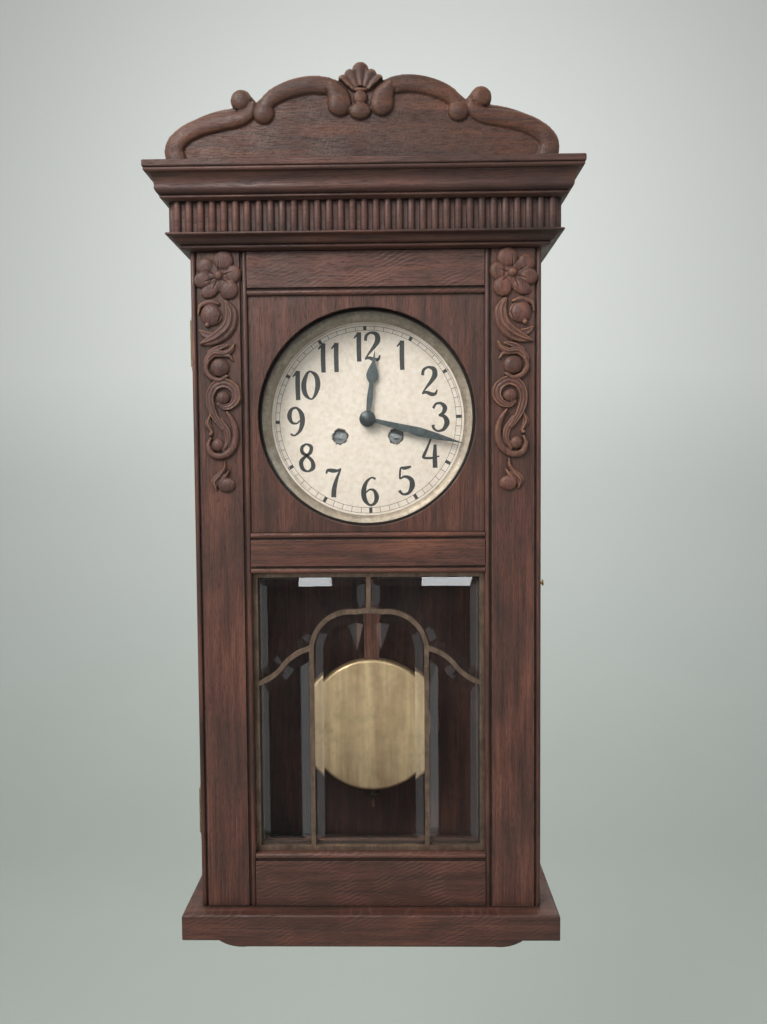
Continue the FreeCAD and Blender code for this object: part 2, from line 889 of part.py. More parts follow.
def dial_ring():
    """The aged brass ring round the dial, domed towards the front."""
    inner, outer = dial_ring_inner_r, dial_ring_outer_r
    y0 = dial_front_y
    face = outline(
        lambda p: V(p[0], p[1], dial_z),
        (inner, y0),
        [(inner, y0 - 1.0), ((inner + 3.5, y0 - 4.4), (outer, y0 - 5.6)), (outer, y0)],
    )
    return face.revolve(V(0, 0, dial_z), V(0, 1, 0), 360)


def hand_blade(outline_points, y0, angle):
    """A flat hand drawn upright from its half outline, then turned clockwise."""
    right = outline_points
    left = [(-x, z) for x, z in reversed(right) if x > 0]
    points = [(x, dial_z + z) for x, z in right + left]
    blade = outline(xz(y0), points[0], points[1:]).extrude(V(0, hand_thickness, 0))
    return turned(blade, 0, dial_z, angle)


def hour_hand():
    """The hour hand: slim stem, leaf and spear tip."""
    y0 = dial_front_y - 4.7
    tip = hour_hand_length
    blade = hand_blade(
        [(1.8, 0), (2.7, 20), (1.9, 33), (4.6, 36.5), (5.65, 40.5), (4.4, 45.5), (1.3, 53),
         (2.6, 54), (1.3, 55.2), (0.9, 58), (0, tip)],
        y0, hour_hand_angle,
    )
    hub = rod_y(0, dial_z, 6.6, y0, y0 + hand_thickness)
    hole = rod_y(0, dial_z, 4.6, y0 - 1, y0 + 3)
    return fuse([blade, hub]).cut(hole)


def minute_hand():
    """The minute hand: a long sword widest near the middle."""
    y0 = dial_front_y - 7.6
    blade = hand_blade(
        [(1.6, 0), (3.0, 30), (4.2, 49), (3.0, 66), (0, minute_hand_length)],
        y0, minute_hand_angle,
    )
    hub = rod_y(0, dial_z, 5.6, y0, y0 + hand_thickness)
    hole = rod_y(0, dial_z, 3.1, y0 - 1, y0 + 3)
    return fuse([blade, hub]).cut(hole)


def hand_nut():
    """The domed nut that holds the minute hand."""
    y1 = dial_front_y - 7.6
    edge = 1.0
    dome = 2.4
    ball_r = (hub_r ** 2 + dome ** 2) / (2 * dome)
    rim = rod_y(0, dial_z, hub_r, y1 - edge, y1)
    ball = Part.makeSphere(ball_r, V(0, y1 - edge - dome + ball_r, dial_z))
    cap = ball.common(rod_y(0, dial_z, hub_r, y1 - edge - dome - 1, y1 - edge))
    return fuse([rim, cap])


# ---------------------------------------------------------------- gears


def involute_point(base_r, radius):
    """Angle swept by the involute between its base circle and a radius."""
    if radius <= base_r:
        return 0.0
    a = math.acos(base_r / radius)
    return math.tan(a) - a


def gear_face(x, z, teeth, module, y, phase=0.0):
    """A toothed outline with short involute teeth. phase turns it, in tooth pitches."""
    pitch_r = module * teeth / 2
    base_r = pitch_r * math.cos(math.radians(pressure_angle))
    tip_r = pitch_r + tooth_addendum * module
    root_r = pitch_r - tooth_dedendum * module
    half_at_pitch = math.pi / (2 * teeth) * (1 - 2 * tooth_thinning)
    pitch_inv = involute_point(base_r, pitch_r)
    flank_radii = [max(root_r + 0.02, base_r), pitch_r, tip_r]
    points = []
    for k in range(teeth):
        centre = 2 * math.pi * (k + phase) / teeth
        flank = []
        for r in flank_radii:
            half = half_at_pitch + pitch_inv - involute_point(base_r, r)
            flank.append((r, half))
        root_half = flank[0][1]
        for r, half in [(root_r, root_half)] + flank:
            points.append((r, centre - half))
        for r, half in reversed([(root_r, root_half)] + flank):
            points.append((r, centre + half))
    place = [V(x + r * math.sin(a), y, z + r * math.cos(a)) for r, a in points]
    return Part.Face(Part.makePolygon(place + [place[0]]))


def gear(x, z, teeth, module, y0, y1, phase=0.0):
    """A toothed disc or pinion between y0 and y1."""
    return gear_face(x, z, teeth, module, y0, phase).extrude(V(0, y1 - y0, 0))


def crossings(x, z, inner_r, outer_r, y0, y1, arms=5):
    """The windows between a wheel's arms, as one cutter."""
    ring = tube_y(x, z, outer_r, inner_r, y0 - 1, y1 + 1)
    arm_width = 2.2
    bars = []
    for k in range(arms):
        bar = box(x - arm_width / 2, x + arm_width / 2, y0 - 2, y1 + 2, z, z + outer_r + 2)
        bars.append(turned(bar, x, z, 360.0 * k / arms))
    return ring.cut(fuse(bars))


def wheel(x, z, teeth, module, y0, y1, phase=0.0):
    """A crossed-out wheel of a train."""
    disc = gear(x, z, teeth, module, y0, y1, phase)
    rim_r = module * teeth / 2 - tooth_dedendum * module - 1.6
    return disc.cut(crossings(x, z, 4.2, rim_r, y0, y1))


def line_angle(x0, z0, x1, z1):
    """The direction from one centre to another, clockwise from +Z, in radians."""
    return math.atan2(x1 - x0, z1 - z0)


def meshed(teeth0, phase0, teeth1, x0, z0, x1, z1):
    """The second gear's phase when it meshes with the first across their line of centres."""
    toward = line_angle(x0, z0, x1, z1)
    back = line_angle(x1, z1, x0, z0)
    local = toward * teeth0 / (2 * math.pi) - phase0
    return back * teeth1 / (2 * math.pi) + local + 0.5


# ---------------------------------------------------------------- movement

# Where each arbor stands, as (x, z)
centre_at = (0.0, dial_z)
third_at = (0.0, third_z)
escape_at = (0.0, escape_z)
anchor_at = (0.0, anchor_z)
time_at = (-winding_x, winding_z)
strike_at = (winding_x, winding_z)
minute_at = (0.0, minute_arbor_z)
hammer_at = (hammer_x, hammer_z)

# Levels along Y of the parts between the plates, and in front of the front plate
drum_y = (-104.0, -84.5)
time_rim_y = (-84.0, -82.0)
strike_rim_y = (-104.5, -102.5)
intermediate_pinion_y = (-84.8, -81.4)
intermediate_wheel_y = (-108.0, -106.6)
centre_pinion_y = (-108.6, -105.8)
centre_wheel_y = (-80.4, -79.0)
third_pinion_y = (-81.4, -78.0)
third_wheel_y = (-95.0, -93.6)
escape_pinion_y = (-96.0, -92.6)
escape_wheel_y = (-101.0, -99.8)
pallet_y = (-101.6, -99.2)
crutch_y = (-68.0, -66.4)
cannon_pinion_y = (-114.6, -112.8)
minute_pinion_y = (-117.6, -115.2)
hour_wheel_y = (-117.2, -115.6)
ratchet_y = (-114.6, -113.0)


def intermediate_place():
    """Where the intermediate arbor stands: in mesh with the time barrel and the centre pinion."""
    to_centre = intermediate_module * (intermediate_teeth + centre_leaves) / 2
    to_barrel = barrel_module * (barrel_teeth + intermediate_leaves) / 2
    dx, dz = time_at[0] - centre_at[0], time_at[1] - centre_at[1]
    span = math.hypot(dx, dz)
    along = (to_centre ** 2 - to_barrel ** 2 + span ** 2) / (2 * span)
    across = math.sqrt(to_centre ** 2 - along ** 2)
    ux, uz = dx / span, dz / span
    return (centre_at[0] + along * ux - across * uz, centre_at[1] + along * uz + across * ux)


intermediate_at = intermediate_place()


def arbor(at, radius, y0, y1):
    """A plain arbor."""
    return rod_y(at[0], at[1], radius, y0, y1)


def plate_outline(y0, y1):
    """A movement plate with a wide foot, a narrower neck and rounded corners."""
    w = plate_half_width
    plate = box(-w, w, y0, y1, plate_bottom_z, plate_top_z)
    upright = [
        e for e in plate.Edges if e.BoundBox.XLength < 0.1 and e.BoundBox.ZLength < 0.1
    ]
    return plate.makeFillet(8.0, upright)


pillar_at = [
    (sx * (plate_half_width - 9), z)
    for sx in (-1, 1)
    for z in (plate_bottom_z + 9, plate_top_z - 9)
]


def front_plate():
    """The front plate, bored for every arbor's pivot."""
    y0, y1 = front_plate_front_y, front_plate_back_y
    plate = plate_outline(y0, y1)
    holes = [(third_at, arbor_r), (escape_at, arbor_r), (anchor_at, arbor_r),
             (intermediate_at, arbor_r), (centre_at, centre_arbor_r),
             (time_at, winding_arbor_r), (strike_at, winding_arbor_r)]
    for at, r in holes:
        plate = plate.cut(rod_y(at[0], at[1], r + running_clearance, y0 - 1, y1 + 1))
    stud = rod_y(minute_at[0], minute_at[1], 1.3, y0 - 6.4, y0 + 0.5)
    return fuse([plate, stud])


def back_plate():
    """The back plate, with the suspension cock, the hammer's bush and its own pivot holes."""
    y0, y1 = back_plate_front_y, back_plate_back_y
    plate = plate_outline(y0, y1)
    holes = [(third_at, arbor_r), (escape_at, arbor_r), (intermediate_at, arbor_r),
             (centre_at, centre_arbor_r), (time_at, winding_arbor_r),
             (strike_at, winding_arbor_r)]
    for at, r in holes:
        plate = plate.cut(rod_y(at[0], at[1], r + running_clearance, y0 - 1, y1 + 1))
    plate = plate.cut(rod_y(0, anchor_z, 5.0, y0 - 1, y1 + 1))
    cock_z = anchor_z + 4.0
    cock = [box(-13, -7, y1, pendulum_y + 3, cock_z, cock_z + 12)]
    cock.append(box(7, 13, y1, pendulum_y + 3, cock_z, cock_z + 12))
    cock.append(box(-13, 13, pendulum_y - 3, pendulum_y + 3, cock_z + 6, cock_z + 12))
    cock.append(box(-5, 5, pendulum_y - 1.6, pendulum_y + 1.6, anchor_z + 2.8, cock_z + 6.5))
    ear = box(plate_half_width - 4, hammer_x + 6, y0, y1, hammer_z - 6, hammer_z + 6)
    ear = ear.cut(rod_y(hammer_x, hammer_z, 1.6 + running_clearance, y0 - 1, y1 + 1))
    return fuse([plate, ear] + cock)


def pillars():
    """Four pillars between the plates, with a shoulder, a collar and a nut at each end."""
    out = []
    for x, z in pillar_at:
        y0, y1 = front_plate_back_y, back_plate_front_y
        middle = (y0 + y1) / 2
        out.append(fuse([
            rod_y(x, z, 3.2, y0, y1),
            rod_y(x, z, 4.6, middle - 2, middle + 2),
            rod_y(x, z, 4.4, y0, y0 + 2.0),
            rod_y(x, z, 4.4, y1 - 2.0, y1),
        ]))
    return group(out)


def barrel(at, teeth, rim_y, phase):
    """A spring barrel: drum with a hollow for the mainspring, two caps and a toothed rim."""
    x, z = at
    y0, y1 = drum_y
    drum = rod_y(x, z, barrel_drum_r, y0, y1 + 0.5)
    hollow = rod_y(x, z, barrel_drum_r - 1.4, y0 + 1.6, y1 - 1.2)
    rim = gear(x, z, teeth, barrel_module, rim_y[0], rim_y[1], phase)
    bore = rod_y(x, z, winding_arbor_r + running_clearance, y0 - 1, y1 + 8)
    return fuse([drum.cut(hollow), rim]).cut(bore)


def winding_arbor(at):
    """A winding arbor: pivot, hub inside the barrel, ratchet wheel and a square for the key."""
    x, z = at
    bar = rod_y(x, z, winding_arbor_r, front_plate_front_y - 3.4, back_plate_back_y + 1.0)
    hub = rod_y(x, z, 5.5, drum_y[0] + 2.0, drum_y[1] - 1.6)
    square = box(x - 1.8, x + 1.8, dial_front_y + 0.4, front_plate_front_y - 3.0, z - 1.8, z + 1.8)
    teeth = 24
    tip_r, root_r = 11.0, 9.6
    points = []
    for k in range(teeth):
        a0 = 2 * math.pi * k / teeth
        a1 = 2 * math.pi * (k + 1) / teeth
        points.append(V(x + tip_r * math.sin(a0), ratchet_y[0], z + tip_r * math.cos(a0)))
        points.append(V(x + root_r * math.sin(a0), ratchet_y[0], z + root_r * math.cos(a0)))
        middle = a0 + (a1 - a0) * 0.55
        middle_r = (tip_r + root_r) / 2
        points.append(V(x + middle_r * math.sin(middle), ratchet_y[0],
                        z + middle_r * math.cos(middle)))
    ratchet = Part.Face(Part.makePolygon(points + [points[0]]))
    ratchet = ratchet.extrude(V(0, ratchet_y[1] - ratchet_y[0], 0))
    return fuse([bar, hub, square, ratchet])


def train_phases():
    """The phase of every gear of the going train, so that all are in mesh at rest."""
    phases = {"third_pinion": 0.0}
    phases["centre_wheel"] = meshed(third_leaves, 0.0, centre_teeth, *third_at, *centre_at)
    phases["third_wheel"] = 0.0
    phases["escape_pinion"] = meshed(third_teeth, 0.0, escape_leaves, *third_at, *escape_at)
    phases["centre_pinion"] = 0.0
    phases["intermediate_wheel"] = meshed(
        centre_leaves, 0.0, intermediate_teeth, *centre_at, *intermediate_at
    )
    phases["intermediate_pinion"] = 0.0
    phases["time_barrel"] = meshed(
        intermediate_leaves, 0.0, barrel_teeth, *intermediate_at, *time_at
    )
    return phases


def intermediate_wheel(phases):
    """The intermediate arbor with its pinion and wheel."""
    x, z = intermediate_at
    y0, y1 = intermediate_pinion_y
    pinion = gear(x, z, intermediate_leaves, barrel_module, y0, y1, phases["intermediate_pinion"])
    y0, y1 = intermediate_wheel_y
    disc = wheel(x, z, intermediate_teeth, intermediate_module, y0, y1,
                 phases["intermediate_wheel"])
    collet = rod_y(x, z, 4.3, y0, y1 + 1.5)
    bar = arbor(intermediate_at, arbor_r, front_plate_front_y, back_plate_back_y)
    return fuse([pinion, disc, collet, bar])


def centre_wheel(phases):
    """The centre arbor, which carries the hands, with its pinion and wheel."""
    x, z = centre_at
    y0, y1 = centre_pinion_y
    pinion = gear(x, z, centre_leaves, intermediate_module, y0, y1, phases["centre_pinion"])
    y0, y1 = centre_wheel_y
    disc = wheel(x, z, centre_teeth, centre_module, y0, y1, phases["centre_wheel"])
    collet = rod_y(x, z, 4.3, y0 - 1.5, y1)
    thin = rod_y(x, z, 1.6, front_plate_back_y + 1.0, back_plate_front_y)
    front = arbor(centre_at, centre_arbor_r, dial_front_y - 7.0, front_plate_back_y + 1.0)
    back = arbor(centre_at, centre_arbor_r, back_plate_front_y - 1.0, back_plate_back_y)
    return fuse([pinion, disc, collet, thin, front, back])


def third_wheel(phases):
    """The third arbor with its pinion and wheel."""
    x, z = third_at
    y0, y1 = third_pinion_y
    pinion = gear(x, z, third_leaves, centre_module, y0, y1, phases["third_pinion"])
    y0, y1 = third_wheel_y
    disc = wheel(x, z, third_teeth, third_module, y0, y1, phases["third_wheel"])
    collet = rod_y(x, z, 4.3, y0, y1 + 1.2)
    bar = arbor(third_at, arbor_r, front_plate_front_y, back_plate_back_y)
    return fuse([pinion, disc, collet, bar])


def escape_wheel(phases):
    """The escape arbor with its pinion and the thirty-toothed escape wheel."""
    x, z = escape_at
    y0, y1 = escape_pinion_y
    pinion = gear(x, z, escape_leaves, third_module, y0, y1, phases["escape_pinion"])
    y0, y1 = escape_wheel_y
    root_r = escape_wheel_r - 3.0
    points = []
    for k in range(escape_teeth):
        a = 2 * math.pi * k / escape_teeth
        pitch = 2 * math.pi / escape_teeth
        for r, share in ((root_r, -0.30), (escape_wheel_r, 0.0), (escape_wheel_r, 0.06),
                         (root_r, 0.14)):
            b = a + share * pitch
            points.append(V(x + r * math.sin(b), y0, z + r * math.cos(b)))
    disc = Part.Face(Part.makePolygon(points + [points[0]])).extrude(V(0, y1 - y0, 0))
    disc = disc.cut(crossings(x, z, 3.4, root_r - 1.6, y0, y1, arms=4))
    collet = rod_y(x, z, 3.5, y0, y1 + 1.2)
    bar = arbor(escape_at, arbor_r, front_plate_front_y, back_plate_back_y)
    return fuse([pinion, disc, collet, bar])


def anchor():
    """The anchor on its arbor, and the crutch that reaches down to the pendulum rod."""
    x, z = anchor_at
    y0, y1 = pallet_y
    reach = escape_wheel_r + 0.9
    spread = math.radians(42.0)
    px, pz = reach * math.sin(spread), escape_z + reach * math.cos(spread)
    claw = outline(
        xz(y0),
        (x, z + 3.6),
        [((9.0, z + 0.4), (px + 2.4, pz + 4.0)), (px + 1.6, pz - 0.6), (px, pz),
         ((6.5, z - 4.0), (x, z - 3.4))],
    ).extrude(V(0, y1 - y0, 0))
    bar = rod_y(x, z, arbor_r, front_plate_front_y, crutch_y[1] + 0.8)
    collet = rod_y(x, z, 3.0, y0 - 1.5, y1 + 1.5)
    y0, y1 = crutch_y
    low = dial_z - 22.0
    strip = box(-1.6, 1.6, y0, y1, low, z)
    boss = rod_y(x, z, 3.2, y0, y1)
    pin = rod_y(x, low + 2.5, 1.2, y0, pendulum_y + rod_thickness / 2 + 1.0)
    pad = rod_y(x, low + 2.5, 3.0, y0, y1)
    return fuse([claw, mirrored_x(claw), bar, collet, strip, boss, pin, pad])


def cannon_pinion():
    """The cannon pinion: a tube that turns stiffly on the centre arbor and carries the hand."""
    x, z = centre_at
    y0, y1 = cannon_pinion_y
    tube = rod_y(x, z, 3.0, dial_front_y - 7.6, y1)
    teeth = gear(x, z, cannon_leaves, cannon_module, y0, y1)
    bore = rod_y(x, z, centre_arbor_r + running_clearance, dial_front_y - 9, y1 + 1)
    return fuse([tube, teeth]).cut(bore)


def minute_wheel():
    """The minute wheel and its pinion, on the front plate's stud."""
    x, z = minute_at
    y0, y1 = cannon_pinion_y
    phase = meshed(cannon_leaves, 0.0, minute_teeth, *centre_at, *minute_at)
    disc = gear(x, z, minute_teeth, cannon_module, y0, y1, phase)
    y2, y3 = minute_pinion_y
    pinion = gear(x, z, minute_leaves, hour_module, y2, y3, 0.0)
    neck = rod_y(x, z, 2.2, y3 - 0.2, y0 + 0.2)
    bore = rod_y(x, z, 1.3 + running_clearance, y2 - 1, y1 + 1)
    return fuse([disc, pinion, neck]).cut(bore)


def hour_wheel():
    """The hour wheel and its pipe, running on the cannon pinion's tube."""
    x, z = centre_at
    y0, y1 = hour_wheel_y
    phase = meshed(minute_leaves, 0.0, hour_teeth, *minute_at, *centre_at)
    disc = gear(x, z, hour_teeth, hour_module, y0, y1, phase)
    pipe = rod_y(x, z, 4.5, dial_front_y - 4.7, y1)
    bore = rod_y(x, z, 3.0 + running_clearance, dial_front_y - 6, y1 + 1)
    return fuse([disc, pipe]).cut(bore)


# ---------------------------------------------------------------- pendulum


def suspension_spring():
    """The suspension spring's two chocks and steel strip."""
    low = anchor_z - spring_length
    strip = box(-4.5, 4.5, pendulum_y - 0.15, pendulum_y + 0.15, low - 1, anchor_z + 2.5)
    lower = box(-6, 6, pendulum_y - 1.6, pendulum_y + 1.6, low - 6, low)
    return fuse([strip, lower])


def pendulum_rod():
    """The flat wooden rod, slotted for the crutch pin, with a threaded steel end."""
    y0, y1 = pendulum_y - rod_thickness / 2, pendulum_y + rod_thickness / 2
    top = anchor_z - spring_length - 6
    half = rod_width / 2
    wood_low = bob_z - bob_r + 24
    wood = box(-half, half, y0, y1, wood_low, top)
    slot_z = dial_z - 19.5
    slot = box(-1.2 - running_clearance, 1.2 + running_clearance, y0 - 1, y1 + 1,
               slot_z - 7, slot_z + 7)
    screw = rod_z(0, pendulum_y, 1.6, bob_z - bob_r - 18, wood_low)
    return fuse([wood.cut(slot), screw])


def pendulum_bob():
    """The bob: a shallow brass lens with a slot along its middle for the rod."""
    half = bob_thickness / 2
    dome = 1.6
    lens = outline(
        lambda p: V(p[0], pendulum_y + p[1], bob_z),
        (0, -half),
        [((bob_r * 0.55, -half + 0.5), (bob_r - 3.2, -half + dome)),
         ((bob_r - 0.6, -half + dome + 1.8), (bob_r, -half + dome + 4.2)),
         (bob_r, half - 4.0), (bob_r - 2.0, half - 2.0), (0, half - 2.0)],
    ).revolve(V(0, 0, bob_z), V(0, 1, 0), 360)
    slot = box(-rod_width / 2 - 0.3, rod_width / 2 + 0.3,
               pendulum_y - rod_thickness / 2 - 0.3, pendulum_y + rod_thickness / 2 + 0.3,
               bob_z - bob_r - 5, bob_z + bob_r + 5)
    return lens.cut(slot)


def rating_nut():
    """The knurled nut under the bob."""
    low = bob_z - bob_r - 7.3
    points = []
    count = 48
    for k in range(count):
        a = 2 * math.pi * k / count
        r = 7.0 if k % 2 == 0 else 6.6
        points.append(V(r * math.cos(a), pendulum_y + r * math.sin(a), low))
    body = Part.Face(Part.makePolygon(points + [points[0]])).extrude(V(0, 0, 4.0))
    neck = rod_z(0, pendulum_y, 4.0, low + 4.0, low + 7.0)
    bore = rod_z(0, pendulum_y, 1.6 + running_clearance, low - 1, low + 9)
    return fuse([body, neck]).cut(bore)


def hammer():
    """The gong hammer: arbor, arm and leather-tipped head beside the gong."""
    x, z = hammer_at
    coil_r = gong_inner_r + gong_pitch * gong_turns
    head_z = gong_z - 14.0
    bar = rod_y(x, z, 1.6, back_plate_front_y - 6, gong_y + 3)
    foot = rod_y(x, z, 3.4, gong_y - 3, gong_y + 3)
    head_x0 = coil_r + 3.0
    head = Part.makeCylinder(4.0, 12, V(head_x0, gong_y, head_z), V(1, 0, 0))
    arm = outline(
        xz(gong_y - 1.2),
        (x - 1.4, z),
        [(head_x0 + 5, head_z), (head_x0 + 8, head_z), (x + 1.4, z)],
    ).extrude(V(0, 2.4, 0))
    return fuse([bar, foot, head, arm])


# ---------------------------------------------------------------- the whole clock


def main():
    """Builds every sub-part and writes it."""
    os.makedirs("parts", exist_ok=True)
    phases = train_phases()
    lattice = came_lattice()
    centre_pane, upper_panes, lower_panes = leaded_panes(lattice)
    parts = {
        "back_board": back_board(),
        "left_side": case_side(-1),
        "right_side": case_side(1),
        "base_board": base_board(),
        "head_rail": head_rail(),
        "frieze": frieze(),
        "lower_cornice_moulding": lower_cornice_moulding(),
        "cornice_crown": cornice_crown(),
        "top_board": top_board(),
        "crest_board": crest_board(),
        "hanger_plate": hanger_plate(),
        "case_screws": case_screws(),
        "seat_board": seat_board(),
        "gong_coil": gong_coil(),
        "gong_stand": gong_stand(),
        "left_stile": stile(-1),
        "right_stile": stile(1),
        "top_rail": rail(top_rail_bottom_z, door_top_z, True, False),
        "middle_rail": rail(middle_rail_bottom_z, middle_rail_top_z, True, True),
        "bottom_rail": rail(door_bottom_z, bottom_rail_top_z, False, True),
        "dial_panel": dial_panel(),
        "dial_glass": dial_glass(),
        "dial_glass_ring": dial_glass_ring(),
        "came_lattice": lattice,
        "centre_pane": centre_pane,
        "upper_panes": upper_panes,
        "lower_panes": lower_panes,
        "glazing_frame": glazing_frame(),
        "left_carving": carving(-1),
        "right_carving": carving(1),
        "door_hinge_leaves": hinge_leaves(True),
        "case_hinge_leaves": hinge_leaves(False),
        "hinge_pins": hinge_pins(),
        "door_hook": door_hook(),
        "catch_pin": catch_pin(),
        "dial_plate": dial_plate(),
        "dial_ring": dial_ring(),
        "hour_hand": hour_hand(),
        "minute_hand": minute_hand(),
        "hand_nut": hand_nut(),
        "front_plate": front_plate(),
        "back_plate": back_plate(),
        "pillars": pillars(),
        "time_barrel": barrel(time_at, barrel_teeth, time_rim_y, phases["time_barrel"]),
        "strike_barrel": barrel(strike_at, strike_barrel_teeth, strike_rim_y, 0.0),
        "time_winding_arbor": winding_arbor(time_at),
        "strike_winding_arbor": winding_arbor(strike_at),
        "intermediate_wheel": intermediate_wheel(phases),
        "centre_wheel": centre_wheel(phases),
        "third_wheel": third_wheel(phases),
        "escape_wheel": escape_wheel(phases),
        "anchor": anchor(),
        "cannon_pinion": cannon_pinion(),
        "minute_wheel": minute_wheel(),
        "hour_wheel": hour_wheel(),
        "suspension_spring": suspension_spring(),
        "pendulum_rod": pendulum_rod(),
        "pendulum_bob": pendulum_bob(),
        "rating_nut": rating_nut(),
        "hammer": hammer(),
    }
    for name, shape in parts.items():
        if not shape.isValid():
            print("invalid:", name)
        save(name, shape)
    print(len(parts), "sub-parts")


main()
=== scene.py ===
import math

import bmesh
import bpy
import numpy as np
from mathutils import Matrix, Vector
from mathutils.geometry import delaunay_2d_cdt


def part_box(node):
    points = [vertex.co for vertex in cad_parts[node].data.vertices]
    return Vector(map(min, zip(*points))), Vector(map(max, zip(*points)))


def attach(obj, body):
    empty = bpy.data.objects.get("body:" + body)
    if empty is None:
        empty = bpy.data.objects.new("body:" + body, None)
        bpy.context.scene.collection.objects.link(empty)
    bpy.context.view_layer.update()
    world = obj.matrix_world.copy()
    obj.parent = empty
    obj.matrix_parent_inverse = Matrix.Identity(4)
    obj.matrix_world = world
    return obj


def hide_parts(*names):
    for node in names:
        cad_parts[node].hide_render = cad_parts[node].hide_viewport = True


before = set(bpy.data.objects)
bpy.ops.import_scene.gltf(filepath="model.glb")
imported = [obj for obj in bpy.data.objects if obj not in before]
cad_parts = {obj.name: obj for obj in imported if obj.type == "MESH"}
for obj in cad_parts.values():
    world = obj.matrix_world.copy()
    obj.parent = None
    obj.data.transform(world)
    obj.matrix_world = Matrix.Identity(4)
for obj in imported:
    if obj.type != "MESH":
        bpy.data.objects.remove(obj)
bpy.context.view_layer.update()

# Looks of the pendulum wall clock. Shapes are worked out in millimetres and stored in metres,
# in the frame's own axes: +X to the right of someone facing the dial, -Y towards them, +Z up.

MM = 0.001
CARVED_EDGE = 62          # degrees: carved edges sharper than this stay sharp
BOARD_EDGE = 32           # degrees: the same for boards
SEED = 7                  # shapes the carvings' small unevenness


# ---------------------------------------------------------------- places on the frame's nodes

def middle(node):
    """The middle of a node's box, in millimetres."""
    low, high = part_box(node)
    return (low + high) / 2 / MM


def lowest(node):
    """The left, front, bottom corner of a node's box, in millimetres."""
    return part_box(node)[0] / MM


def highest(node):
    """The right, back, top corner of a node's box, in millimetres."""
    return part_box(node)[1] / MM


# ---------------------------------------------------------------- node trees

class Shading:
    """One material's node tree, with short calls for the nodes this script uses."""

    def __init__(self, name):
        self.material = bpy.data.materials.new(name)
        self.material.use_nodes = True
        self.tree = self.material.node_tree
        self.tree.nodes.clear()
        self.output = self.tree.nodes.new("ShaderNodeOutputMaterial")
        self.shader = self.tree.nodes.new("ShaderNodeBsdfPrincipled")
        self.join(self.shader.outputs[0], self.output.inputs["Surface"])
        self.place = self.node("TexCoord").outputs["Object"]

    def join(self, source, target):
        """Links two sockets."""
        self.tree.links.new(source, target)

    def feed(self, target, value):
        """Gives an input a socket to read or a value to hold."""
        if isinstance(value, bpy.types.NodeSocket):
            self.join(value, target)
        else:
            target.default_value = value

    def node(self, kind, inputs=None, **settings):
        """A new node with its inputs fed."""
        made = self.tree.nodes.new("ShaderNode" + kind)
        for key, value in settings.items():
            setattr(made, key, value)
        for key, value in (inputs or {}).items():
            self.feed(made.inputs[key], value)
        return made

    def set(self, **values):
        """Feeds the surface shader's inputs; an underscore stands for a space."""
        for key, value in values.items():
            self.feed(self.shader.inputs[key.replace("_", " ")], value)

    def maths(self, operation, a, b=0.0, clamp=False):
        made = self.node("Math", {0: a, 1: b}, operation=operation)
        made.use_clamp = clamp
        return made.outputs[0]

    def stretch(self, vector, scale, turn=(0, 0, 0), shift=(0, 0, 0)):
        """Coordinates scaled along each axis, then turned and moved."""
        inputs = {"Vector": vector, "Scale": scale, "Rotation": turn, "Location": shift}
        return self.node("Mapping", inputs).outputs[0]

    def noise(self, vector, scale, detail=2.0, roughness=0.5, distortion=0.0):
        inputs = {"Vector": vector, "Scale": scale, "Detail": detail,
                  "Roughness": roughness, "Distortion": distortion}
        return self.node("TexNoise", inputs).outputs[0]

    def step(self, value, low, high, to_low=0.0, to_high=1.0):
        """A value ramped from to_low at low to to_high at high, and held outside."""
        inputs = {"Value": value, "From Min": low, "From Max": high,
                  "To Min": to_low, "To Max": to_high}
        return self.node("MapRange", inputs).outputs[0]

    def blend(self, share, a, b):
        """Colour a, giving way to colour b by a share."""
        made = self.node("Mix", data_type="RGBA")
        self.feed(made.inputs[0], share)
        self.feed(made.inputs[6], a)
        self.feed(made.inputs[7], b)
        return made.outputs[2]

    def ramp(self, value, stops):
        """A colour ramp through (position, colour) stops."""
        made = self.node("ValToRGB", {"Fac": value})
        elements = made.color_ramp.elements
        while len(elements) < len(stops):
            elements.new(0.5)
        for element, (at, shade) in zip(elements, stops):
            element.position = at
            element.color = shade
        return made.outputs[0]

    def bump(self, height, distance, strength=1.0):
        inputs = {"Height": height, "Distance": distance, "Strength": strength}
        self.join(self.node("Bump", inputs).outputs[0], self.shader.inputs["Normal"])


def colour(red, green, blue):
    """An opaque colour."""
    return (red, green, blue, 1.0)


OPEN_PORE = colour(0.017, 0.010, 0.009)
DARK_STREAK = colour(0.030, 0.016, 0.013)
OLD_STAIN = colour(0.040, 0.024, 0.020)
# Colour of the painted shade in the wood's corners and crevices.
PAINTED_CORNER_SHADE = colour(0.018, 0.012, 0.010)


def grain_place(shading, grain, mitred):
    """Coordinates whose x runs along the grain; on a mitred moulding's returns that is Y."""
    split = shading.node("SeparateXYZ", {0: shading.place}).outputs
    x, y, z = split[0], split[1], split[2]
    if mitred:
        facing = shading.node("SeparateXYZ", {0: shading.node("TexCoord").outputs["Normal"]}).outputs
        across = shading.maths("ABSOLUTE", facing[0])
        ahead = shading.maths("ABSOLUTE", facing[1])
        on_return = shading.maths("GREATER_THAN", across, ahead)
        along = shading.node("Mix", {0: on_return, 2: x, 3: y}, data_type="FLOAT").outputs[0]
        other = shading.node("Mix", {0: on_return, 2: y, 3: x}, data_type="FLOAT").outputs[0]
        order = (along, other, z)
    else:
        order = {"X": (x, y, z), "Y": (y, x, z), "Z": (z, x, y)}[grain]
    return shading.node("CombineXYZ", {0: order[0], 1: order[1], 2: order[2]}).outputs[0]


